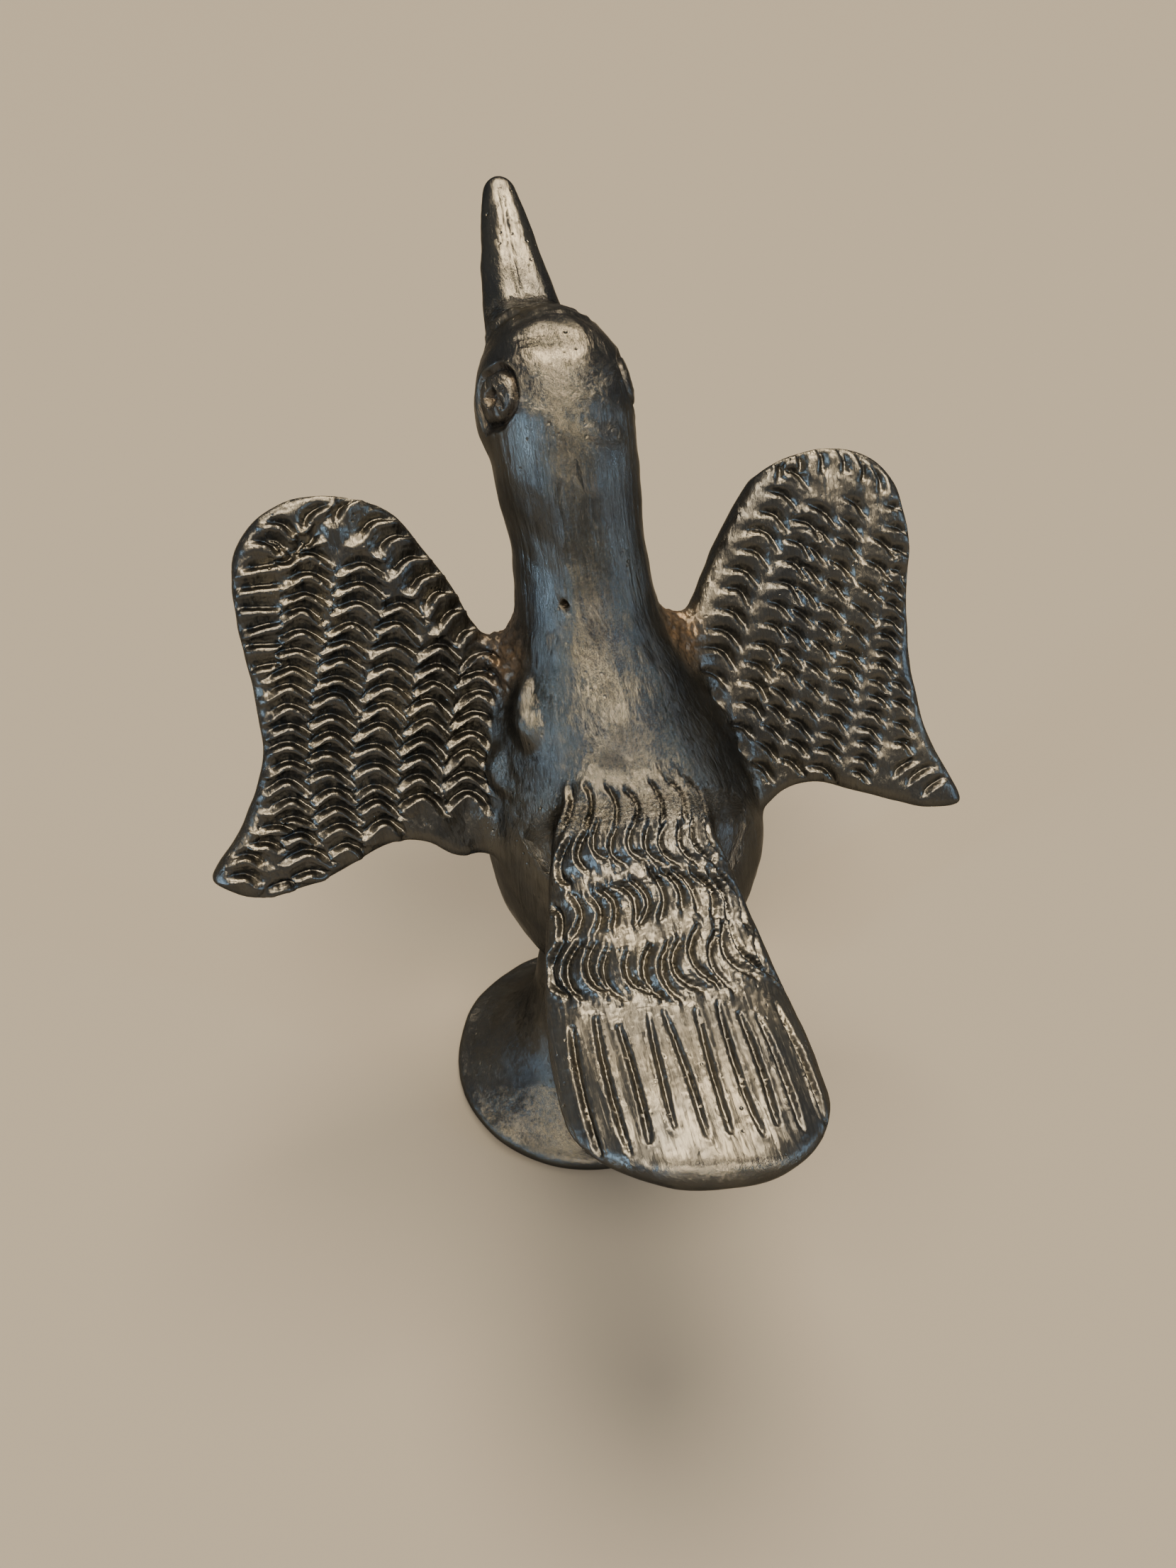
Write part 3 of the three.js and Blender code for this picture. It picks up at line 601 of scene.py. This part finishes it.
charts["tail_end"] = charts["tail_root"]
fields["tail_root"] = tail_top * (1 - step(tail_t, 0.6, 0.64))
fields["tail_end"] = tail_top * step(tail_t, 0.56, 0.6)
rough_clay = np.maximum(rough_clay, 0.5 * tail_top * step(tail_t, 0.1, 0.3))
rough_clay = np.maximum(rough_clay, 0.4 * np.maximum(fields["left_wing"], fields["right_wing"]))

clay.vertices.foreach_set("co", (co * 0.001).ravel())


def keep_on(mesh, name, values):
    """Keeps one number or one vector for each point of a mesh under a name."""
    kind, slot = ("FLOAT", "value") if values.ndim == 1 else ("FLOAT_VECTOR", "vector")
    mesh.attributes.new(name, kind, "POINT").data.foreach_set(slot, values.ravel())


for name in charts:
    keep_on(clay, name + "_chart", charts[name])
    keep_on(clay, name + "_field", fields[name])
keep_on(clay, "grain", grain)
keep_on(clay, "earth_and_shade", earth_and_shade)
keep_on(clay, "rough_clay", rough_clay)
clay.update()
bird = bpy.data.objects.new("clay_bird", clay)
bpy.context.scene.collection.objects.link(bird)

# Pressed marks: each is one push of a curved gouge into the leather-hard clay. It leaves a narrow
# groove, a burr thrown up on its hollow side, and a scale that slopes off below it.
rng = np.random.default_rng(7)


def pressed_marks_tree():
    tree = bpy.data.node_groups.new("pressed_marks", "GeometryNodeTree")
    face = tree.interface

    def named(name, kind, value=None):
        socket = face.new_socket(name, in_out="INPUT", socket_type="NodeSocket" + kind)
        if value is not None:
            socket.default_value = value

    named("Clay", "Geometry")
    named("Strokes", "Object")
    named("Chart", "String")
    named("Field", "String")
    named("Groove width", "Float", 0.34)
    named("Groove depth", "Float", 0.7)
    named("Burr height", "Float", 0.3)
    named("Scale rise", "Float", 0.25)
    named("Both sides", "Float", 0.0)
    named("Upper side", "Vector", (0, 1, 0))
    named("Upper slope", "Float", 2.2)
    named("Deep end", "Float", 0.0)
    named("Raggedness", "Float", 0.15)
    named("Crumb", "Float", 0.05)
    named("Finish", "Material")
    face.new_socket("Clay", in_out="OUTPUT", socket_type="NodeSocketGeometry")
    given = tree.nodes.new("NodeGroupInput").outputs

    def node(kind, *links, **settings):
        made = tree.nodes.new(kind)
        for key, value in settings.items():
            setattr(made, key, value)
        for socket, value in zip([s for s in made.inputs if s.enabled and not s.hide], links):
            if isinstance(value, bpy.types.NodeSocket):
                tree.links.new(value, socket)
            elif value is not None:
                socket.default_value = value
        return [s for s in made.outputs if s.enabled and not s.hide]

    def sum_of(operation, *links):
        return node("ShaderNodeMath", *links, operation=operation)[0]

    def way(operation, *links):
        return node("ShaderNodeVectorMath", *links, operation=operation)[0]

    def hump(distance, middle, width):
        t = sum_of("DIVIDE", sum_of("SUBTRACT", distance, middle), width)
        return sum_of("EXPONENT", sum_of("MULTIPLY", sum_of("MULTIPLY", t, t), -1.0))

    line = node("GeometryNodeMeshLine", 11, (-0.5, 0, 0), (0.5, 0, 0), mode="END_POINTS")[0]
    x = node("ShaderNodeSeparateXYZ", node("GeometryNodeInputPosition")[0])[0]
    bow = sum_of("SUBTRACT", 0.5, sum_of("MULTIPLY", sum_of("MULTIPLY", x, x), 4.0))
    towards_end = sum_of("ABSOLUTE", sum_of("MULTIPLY", x, 2.0))
    lifted = sum_of("MULTIPLY", sum_of("POWER", towards_end, 3.0), 0.65)
    one_end = sum_of("MULTIPLY", sum_of("MULTIPLY", x, given["Deep end"]), -0.7)
    shallow_end = sum_of("MAXIMUM", one_end, 0.0)
    lifted = sum_of("ADD", lifted, shallow_end)
    bowed = node("ShaderNodeCombineXYZ", 0.0, bow, lifted)[0]
    arc = node("GeometryNodeSetPosition", line, None, None, bowed)[0]

    points = node("GeometryNodeMeshToPoints", node("GeometryNodeObjectInfo", given["Strokes"])[-1])[0]
    turn = node("GeometryNodeInputNamedAttribute", "turn", data_type="FLOAT")[0]
    size = node("GeometryNodeInputNamedAttribute", "size", data_type="FLOAT_VECTOR")[0]
    spun = node("FunctionNodeEulerToRotation", node("ShaderNodeCombineXYZ", 0.0, 0.0, turn)[0])[0]
    pushed = node("GeometryNodeInstanceOnPoints", points, None, arc, None, None, spun, size)[0]
    strokes = node("GeometryNodeRealizeInstances", pushed)[0]

    chart = node("GeometryNodeInputNamedAttribute", given["Chart"], data_type="FLOAT_VECTOR")[0]
    field = node("GeometryNodeInputNamedAttribute", given["Field"], data_type="FLOAT")[0]
    noise = node("ShaderNodeTexNoise", chart, 0.9, 3.0, 0.6, noise_dimensions="3D")[1]
    shake = way("MULTIPLY", way("SUBTRACT", noise, (0.5, 0.5, 0.5)), (2, 2, 0))
    where = way("ADD", chart, way("SCALE", shake, given["Raggedness"]))
    nearest, distance = node("GeometryNodeProximity", strokes, None, where, target_element="EDGES")[:2]
    above = way("DOT_PRODUCT", way("SUBTRACT", where, nearest), given["Upper side"])
    width = given["Groove width"]
    below = node("ShaderNodeMapRange", sum_of("MULTIPLY", above, -1.0),
                 0.0, sum_of("MULTIPLY", width, 1.2), 0.0, 1.0, interpolation_type="SMOOTHSTEP")[0]
    burred = sum_of("MAXIMUM", below, given["Both sides"])
    spread = node("ShaderNodeMapRange", above, -0.15, 0.25, 0.75, given["Upper slope"],
                  interpolation_type="SMOOTHSTEP")[0]
    groove = hump(distance, 0.0, sum_of("MULTIPLY", width, spread))
    burr = hump(distance, sum_of("MULTIPLY", width, 1.7), sum_of("MULTIPLY", width, 0.8))
    slope = node("ShaderNodeMapRange", distance, sum_of("MULTIPLY", width, 2.0),
                 sum_of("MULTIPLY", width, 7.0), 1.0, 0.0, interpolation_type="SMOOTHSTEP")[0]
    crumb = node("ShaderNodeTexNoise", chart, 1.7, 2.0, 0.6, noise_dimensions="3D")[0]
    burr = sum_of("MULTIPLY", burr, sum_of("MULTIPLY", crumb, 2.0))
    height = sum_of("ADD", sum_of("MULTIPLY", sum_of("MULTIPLY", burr, given["Burr height"]), burred),
                    sum_of("MULTIPLY", sum_of("MULTIPLY", slope, given["Scale rise"]), burred))
    height = sum_of("SUBTRACT", height, sum_of("MULTIPLY", groove, given["Groove depth"]))
    loose = sum_of("MULTIPLY", sum_of("SUBTRACT", crumb, 0.5), sum_of("MULTIPLY", given["Crumb"], 4.0))
    height = sum_of("ADD", height, loose)
    height = sum_of("MULTIPLY", sum_of("MULTIPLY", height, field), 0.001)
    push = way("SCALE", node("GeometryNodeInputNormal")[0], height)
    marked = node("GeometryNodeSetPosition", given["Clay"], None, None, push)[0]
    finished = node("GeometryNodeSetMaterial", node("GeometryNodeRealizeInstances", marked)[0], None,
                    given["Finish"])[0]
    tree.links.new(finished, tree.nodes.new("NodeGroupOutput").inputs[0])
    return tree


def column(points, pitch, chord, rise, turn, jitter=0.25):
    """Marks set one above another along a line on the chart, as the hand repeated them."""
    p = np.array(points, float)
    length = np.concatenate([[0], np.cumsum(np.linalg.norm(np.diff(p, axis=0), axis=1))])
    n = max(int(round(length[-1] / pitch)) + 1, 2)
    s = np.linspace(0, length[-1], n)
    placed = np.stack([np.interp(s, length, p[:, k]) for k in range(2)], -1)
    placed += rng.normal(size=placed.shape) * jitter * 0.6
    turns = math.radians(turn) + rng.normal(size=n) * 0.06
    sizes = np.stack([chord * rng.uniform(0.93, 1.07, n), rise * rng.uniform(0.85, 1.15, n),
                      rng.uniform(0.8, 1.4, n)], -1)
    shallow = rng.uniform(0, 0.14, n)
    return [(*xy, z, t, *size) for xy, z, t, size in zip(placed, shallow, turns, sizes)]


def strokes_object(name, strokes):
    rows = np.array(strokes, float)
    mesh = bpy.data.meshes.new(name)
    mesh.from_pydata(rows[:, :3].tolist(), [], [])
    keep_on(mesh, "turn", rows[:, 3])
    keep_on(mesh, "size", rows[:, 4:7])
    made = bpy.data.objects.new(name, mesh)
    bpy.context.scene.collection.objects.link(made)
    return made


# Left wing marks: shingled arcs in five leaning columns, short strokes across the outer rim,
# larger arcs up the inner edge, and scribbles at the top and at the tip.
left_strokes = (
    column([(19.2, 31.6), (23.3, 21), (27.4, 11.9), (29.6, 3.1), (31, -2.8), (31.2, -7.3),
            (30.2, -12.2)], 2.85, 5.6, 1.8, 14)
    + column([(11.9, 28.6), (14.5, 22.6), (17.7, 16.7), (20.4, 10.7), (23.9, 1.3), (24.6, -6.3),
              (24.4, -13)], 2.95, 6.2, 2.3, 18)
    + column([(7.8, 21.2), (10.6, 14.5), (13.8, 6.5), (16.6, 0.4), (18.5, -5.6), (17.8, -11)],
             3.1, 6.6, 2.6, 18)
    + column([(3.1, 14), (5.3, 8.2), (7.9, 2.8), (10, -2.7), (11.2, -8.5)], 3.2, 6.7, 2.8, 18)
    + column([(-2.8, 11.3), (-1.2, 5.8), (1.3, -1.1), (3, -4.4), (4, -10)], 3.4, 6.8, 3.0, 16)
    + column([(9.0, 34.6), (5.0, 28.4), (1.4, 21.5), (-1.6, 15.5)], 3.5, 6.6, 1.7, -20)
    + column([(26.6, 31.6), (28.2, 27.4), (29.1, 23), (29.9, 17.5)], 3.1, 5.2, 0.4, 4)
    + column([(17.6, 37.6), (12.6, 37.6)], 3.4, 5.8, 1.2, -38, 0.4)
    + column([(25.6, 34.6), (22.2, 36.6)], 2.4, 4.0, 1.2, 40, 1.0)
    + column([(22.5, 32.2), (19.5, 34.2)], 2.2, 3.6, -1.0, -30, 0.8)
    + column([(33.6, -7.5), (37.5, -10.5), (40, -13.2)], 3.2, 4.4, 1.2, 25, 0.7)
    + column([(31, -15), (35, -15.5)], 3.6, 4.6, 1.0, 5, 0.5)
)

# Right wing marks: gouge prints tilted down and outwards. The two inner columns are arcs, the next
# three dig in at their lower end and turn up there, and the outer ones are small.
right_strokes = (
    column([(12.0, 35.4), (3.8, 19.7), (-0.9, 3), (-2.4, -2)], 3.4, 5.6, 1.9, -26)
    + column([(14.5, 28), (9.4, 11.2), (4.4, -4.2), (2.0, -11)], 3.4, 5.0, 1.7, -30)
    + column([(17.4, 30), (13.2, 10.8), (8.9, -7.9), (8, -11.5)], 3.4, 4.6, 1.0, -38)
    + column([(22.6, 31), (17.8, 10.5), (12.9, -11)], 3.4, 4.4, 0.9, -40)
    + column([(27.2, 25), (23.2, 10.6)], 3.5, 4.4, 0.8, -40)
    + column([(22.6, 7.0), (18.2, -12)], 2.9, 4.4, 1.5, -32)
    + column([(29.9, 20), (28.3, 8), (24.4, -13)], 2.5, 3.6, 1.3, -26)
    + column([(30.6, 2), (31.2, -4), (31.5, -8)], 3.2, 3.6, 1.2, -30)
    + column([(29.6, 30.5), (29.6, 24)], 3.2, 4.6, 0.8, -12)
    + column([(9.5, 37.4), (14.8, 38.6), (20.7, 37.9), (26, 35.2)], 3.3, 4.8, 1.3, -78)
    + column([(31.4, -12), (36.6, -15.6)], 3.0, 6.0, 0.5, 38, 0.4)
)

# Tail marks: four wavy rows of deep crescents across the root, turned to and fro row by row, then
# ten flutes drawn with the gouge towards the end, with rough lips on both sides.
# A row is its place along the tail, its count of crescents, and their chord and turn.
TAIL_ROWS = ((0.145, 7, 6.2, 96), (0.25, 10, 6.2, -84), (0.37, 12, 6.6, 98), (0.52, 13, 8.0, -80))
TAIL_ROW_HALF = 16.6
CRESCENT_RISE = 2.1
FLUTES = 10
FLUTE_MIDDLE = 0.77
FLUTE_LENGTH = 18.5
FLUTES_FROM, FLUTES_TO = -15.9, 15.2
tail_length = tail_at.length
tail_strokes = []
for middle, n, chord, turn in TAIL_ROWS:
    across = np.linspace(-TAIL_ROW_HALF, TAIL_ROW_HALF, n) + rng.normal(size=n) * 0.3
    wave = 1.0 * np.sin(across / 4.6 + middle * 14) + rng.normal(size=n) * 0.35
    for u, v in zip(across, middle * tail_length + wave):
        tail_strokes.append((
            u, v, rng.uniform(0, 0.2), math.radians(turn + 8 * rng.normal()),
            chord * rng.uniform(0.85, 1.1), CRESCENT_RISE * rng.uniform(0.7, 1.3),
            rng.uniform(0.3, 0.7)))
flute_strokes = []
for u in np.linspace(FLUTES_FROM, FLUTES_TO, FLUTES):
    flute_strokes.append((
        u + rng.normal() * 0.3, FLUTE_MIDDLE * tail_length + rng.normal() * 0.7, rng.uniform(0, 0.2),
        math.radians(90 + 2.5 * rng.normal()), FLUTE_LENGTH * rng.uniform(0.85, 1.06),
        rng.uniform(-0.5, 0.9), 0.5))

marks = pressed_marks_tree()
sockets = {s.name: s.identifier for s in marks.interface.items_tree if s.in_out == "INPUT"}
helpers = []
for name, panel, strokes, values in (
    ("left_marks", "left_wing", left_strokes,
     {"Upper side": (-0.31, 0.95, 0), "Groove depth": 1.25, "Groove width": 0.46, "Burr height": 0.14,
      "Scale rise": 0.36, "Deep end": -0.5, "Upper slope": 1.8}),
    ("right_marks", "right_wing", right_strokes,
     {"Upper side": (0.56, 0.83, 0), "Groove depth": 1.05, "Groove width": 0.44, "Burr height": 0.12,
      "Scale rise": 0.05, "Deep end": 1.0, "Upper slope": 1.7}),
    ("tail_crescents", "tail_root", tail_strokes,
     {"Upper side": (-1.0, 0, 0), "Groove depth": 1.0, "Groove width": 0.46, "Burr height": 0.24,
      "Scale rise": 0.16, "Upper slope": 1.4, "Raggedness": 0.24, "Crumb": 0.1}),
    ("tail_flutes", "tail_end", flute_strokes,
     {"Upper side": (-1.0, 0, 0), "Groove depth": 0.95, "Groove width": 0.42, "Burr height": 0.14,
      "Scale rise": 0.0, "Both sides": 1.0, "Upper slope": 1.1, "Raggedness": 0.2, "Crumb": 0.05}),
):
    stamp = strokes_object(name + "_strokes", strokes)
    helpers.append(stamp)
    press = bird.modifiers.new(name, "NODES")
    press.node_group = marks
    press[sockets["Strokes"]] = stamp
    press[sockets["Chart"]] = panel + "_chart"
    press[sockets["Field"]] = panel + "_field"
    for key, value in values.items():
        press[sockets[key]] = value

# Finish: burnished and smoke-fired black clay with the sheen of graphite. Fine strokes of the
# stone run along the form, pits and dull spots show between them, and brown earth stays in the
# hollows at the shoulders. The same earth colour is laid as painted shade in the eye rings, the
# eye pits and the vent hole.
PIECE_TRIANGLES = 196000
GRAPHITE_DARK, GRAPHITE_PALE = (0.108, 0.112, 0.116, 1), (0.148, 0.146, 0.136, 1)
EARTH_DARK, EARTH_PALE = (0.05, 0.032, 0.018, 1), (0.15, 0.1, 0.06, 1)
BURNISHED, LESS_BURNISHED, UNBURNISHED = 0.14, 0.27, 0.45
finish = bpy.data.materials.new("burnished_black_clay")
finish.use_nodes = True
nodes, links = finish.node_tree.nodes, finish.node_tree.links
surface = nodes["Principled BSDF"]


def shade(kind, settings=(), **values):
    made = nodes.new(kind)
    for key, value in dict(settings).items():
        setattr(made, key, value)
    for key, value in values.items():
        socket = made.inputs[key.replace("_", " ")]
        if isinstance(value, bpy.types.NodeSocket):
            links.new(value, socket)
        else:
            socket.default_value = value
    return made


grain_way = shade("ShaderNodeAttribute", {"attribute_name": "grain"}).outputs["Vector"]
earth_and_shade_here = shade("ShaderNodeAttribute", {"attribute_name": "earth_and_shade"}).outputs["Fac"]
rough_here = shade("ShaderNodeAttribute", {"attribute_name": "rough_clay"}).outputs["Fac"]
place = shade("ShaderNodeTexCoord").outputs["Object"]
scratches = shade("ShaderNodeTexNoise", Vector=grain_way, Scale=2.6, Detail=5.0,
                  Roughness=0.7).outputs[0]
cloud = shade("ShaderNodeTexNoise", Vector=place, Scale=90.0, Detail=5.0, Roughness=0.6).outputs[0]
speck = shade("ShaderNodeTexNoise", Vector=place, Scale=900.0, Detail=2.0, Roughness=0.6).outputs[0]
pits = shade("ShaderNodeTexVoronoi", {"feature": "F1"}, Vector=place, Scale=650.0).outputs["Distance"]


def blended(factor, a, b, kind="RGBA"):
    mix = shade("ShaderNodeMix", {"data_type": kind})
    sockets_in = [s for s in mix.inputs if s.enabled]
    for socket, value in zip(sockets_in, (factor, a, b)):
        if isinstance(value, bpy.types.NodeSocket):
            links.new(value, socket)
        else:
            socket.default_value = value
    return [s for s in mix.outputs if s.enabled][0]


def ranged(value, low, high, to_low, to_high):
    made = shade("ShaderNodeMapRange", Value=value)
    for key, number in zip(("From Min", "From Max", "To Min", "To Max"), (low, high, to_low, to_high)):
        made.inputs[key].default_value = number
    return made.outputs[0]


def product(a, b):
    made = shade("ShaderNodeMath", {"operation": "MULTIPLY"})
    for socket, value in zip(made.inputs, (a, b)):
        if isinstance(value, bpy.types.NodeSocket):
            links.new(value, socket)
        else:
            socket.default_value = value
    return made.outputs[0]


def flats(scale, tilt):
    """Small flat faces of random tilt, as heights in millimetres."""
    cells = shade("ShaderNodeTexVoronoi", {"feature": "F1"}, Vector=grain_way, Scale=scale)
    off = shade("ShaderNodeVectorMath", {"operation": "SUBTRACT"})
    links.new(grain_way, off.inputs[0])
    links.new(cells.outputs["Position"], off.inputs[1])
    lean = shade("ShaderNodeVectorMath", {"operation": "SUBTRACT"})
    links.new(cells.outputs["Color"], lean.inputs[0])
    lean.inputs[1].default_value = (0.5, 0.5, 0.5)
    rise = shade("ShaderNodeVectorMath", {"operation": "DOT_PRODUCT"})
    links.new(off.outputs[0], rise.inputs[0])
    links.new(lean.outputs[0], rise.inputs[1])
    return product(rise.outputs["Value"], tilt)


graphite = blended(ranged(cloud, 0.35, 0.65, 0, 1), GRAPHITE_DARK, GRAPHITE_PALE)
earth = blended(ranged(speck, 0.4, 0.6, 0, 1), EARTH_DARK, EARTH_PALE)
# The earth colour: real on the shoulder webs and the eye discs, painted shade in the eye rings, pits
# and vent hole; it also dulls the metal sheen there.
earth_and_shade_share = product(earth_and_shade_here, ranged(cloud, 0.35, 0.6, 0.35, 1.0))
links.new(blended(earth_and_shade_share, graphite, earth), surface.inputs["Base Color"])
links.new(ranged(earth_and_shade_share, 0.0, 1.0, 0.9, 0.3), surface.inputs["Metallic"])
surface.inputs["Specular Tint"].default_value = (0.35, 0.35, 0.35, 1)
sheen = ranged(scratches, 0.3, 0.7, BURNISHED, LESS_BURNISHED)
links.new(blended(rough_here, sheen, UNBURNISHED, "FLOAT"), surface.inputs["Roughness"])
broad_bump = shade("ShaderNodeBump", Strength=1.0, Distance=0.001, Height=flats(0.3, 0.16))
narrow_bump = shade("ShaderNodeBump", Strength=1.0, Distance=0.001, Height=flats(2.0, 0.26),
                    Normal=broad_bump.outputs[0])
stroked = product(scratches, ranged(rough_here, 0.0, 0.5, 1.0, 0.3))
stroke_bump = shade("ShaderNodeBump", Strength=0.75, Distance=0.00018, Height=stroked,
                    Normal=narrow_bump.outputs[0])
speck_bump = shade("ShaderNodeBump", Strength=0.2, Distance=0.00005, Height=speck,
                   Normal=stroke_bump.outputs[0])
pitted = product(ranged(pits, 0.0, 0.2, 1, 0), ranged(cloud, 0.52, 0.62, 0, 1))
pit_bump = shade("ShaderNodeBump", {"invert": True}, Strength=0.8, Distance=0.00025, Height=pitted,
                 Normal=speck_bump.outputs[0])
links.new(pit_bump.outputs[0], surface.inputs["Normal"])
for press in bird.modifiers:
    press[sockets["Finish"]] = finish

thin = bird.modifiers.new("thin", "DECIMATE")
thin.ratio = min(1.0, PIECE_TRIANGLES / (2 * len(quads)))
dense = bird.evaluated_get(bpy.context.evaluated_depsgraph_get())
final = bpy.data.meshes.new_from_object(dense)
bird.modifiers.clear()
bird.data = final
for helper in helpers:
    bpy.data.objects.remove(helper)
for name in charts:
    final.attributes.remove(final.attributes[name + "_chart"])
    final.attributes.remove(final.attributes[name + "_field"])
final.shade_smooth()
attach(bird, "root")
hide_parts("bird")

# Studio: a plain pale floor of matt paper, warm soft light from above and from behind the tail,
# and a narrow cool window on each side, which draws the blue streaks along the neck.
FLOOR_HALF = 3000
LAMPS_LOOK_AT = (0, 0, 0.09)
floor = bpy.data.objects.new("floor", mesh_of(
    [(-FLOOR_HALF, -FLOOR_HALF, 0), (FLOOR_HALF, -FLOOR_HALF, 0), (FLOOR_HALF, FLOOR_HALF, 0),
     (-FLOOR_HALF, FLOOR_HALF, 0)], [[0, 1, 2, 3]], "floor"))
paper = bpy.data.materials.new("pale_paper")
paper.use_nodes = True
paper.node_tree.nodes["Principled BSDF"].inputs["Base Color"].default_value = (0.228, 0.222, 0.213, 1)
paper.node_tree.nodes["Principled BSDF"].inputs["Roughness"].default_value = 0.9
floor.data.materials.append(paper)
bpy.context.scene.collection.objects.link(floor)


def lamp(name, place, shape, size, power, colour):
    """A soft lamp that looks at the bird; a far one is a sun as wide as `size` degrees."""
    light = bpy.data.lights.new(name, shape)
    light.energy = power
    light.color = colour
    if shape == "SUN":
        light.angle = math.radians(size)
    else:
        light.shape = "RECTANGLE"
        light.size, light.size_y = size
    made = bpy.data.objects.new(name, light)
    bpy.context.scene.collection.objects.link(made)
    aim = np.array(LAMPS_LOOK_AT) - np.array(place, float)
    made.location = place
    made.rotation_euler = (math.atan2(math.hypot(aim[0], aim[1]), -aim[2]), 0,
                           math.atan2(aim[1], aim[0]) - math.pi / 2)


lamp("ceiling_light", (-0.1, -0.26, 1.06), "SUN", 34, 4.2, (1.0, 0.8, 0.54))
lamp("back_light", (0.06, 0.5, 0.85), "SUN", 28, 3.3, (1.0, 0.81, 0.56))
lamp("left_window", (1.36, 0.68, 0.36), "AREA", (0.032, 0.4), 5.4, (0.55, 0.78, 1.0))
lamp("right_window", (-1.4, 0.84, 0.42), "AREA", (0.05, 0.42), 3.6, (0.55, 0.78, 1.0))
world = bpy.data.worlds.new("studio")
world.use_nodes = True
world.node_tree.nodes["Background"].inputs["Color"].default_value = (0.5, 0.56, 0.62, 1)
world.node_tree.nodes["Background"].inputs["Strength"].default_value = 0.33
bpy.context.scene.world = world
bpy.context.scene.view_settings.look = "AgX - Medium High Contrast"
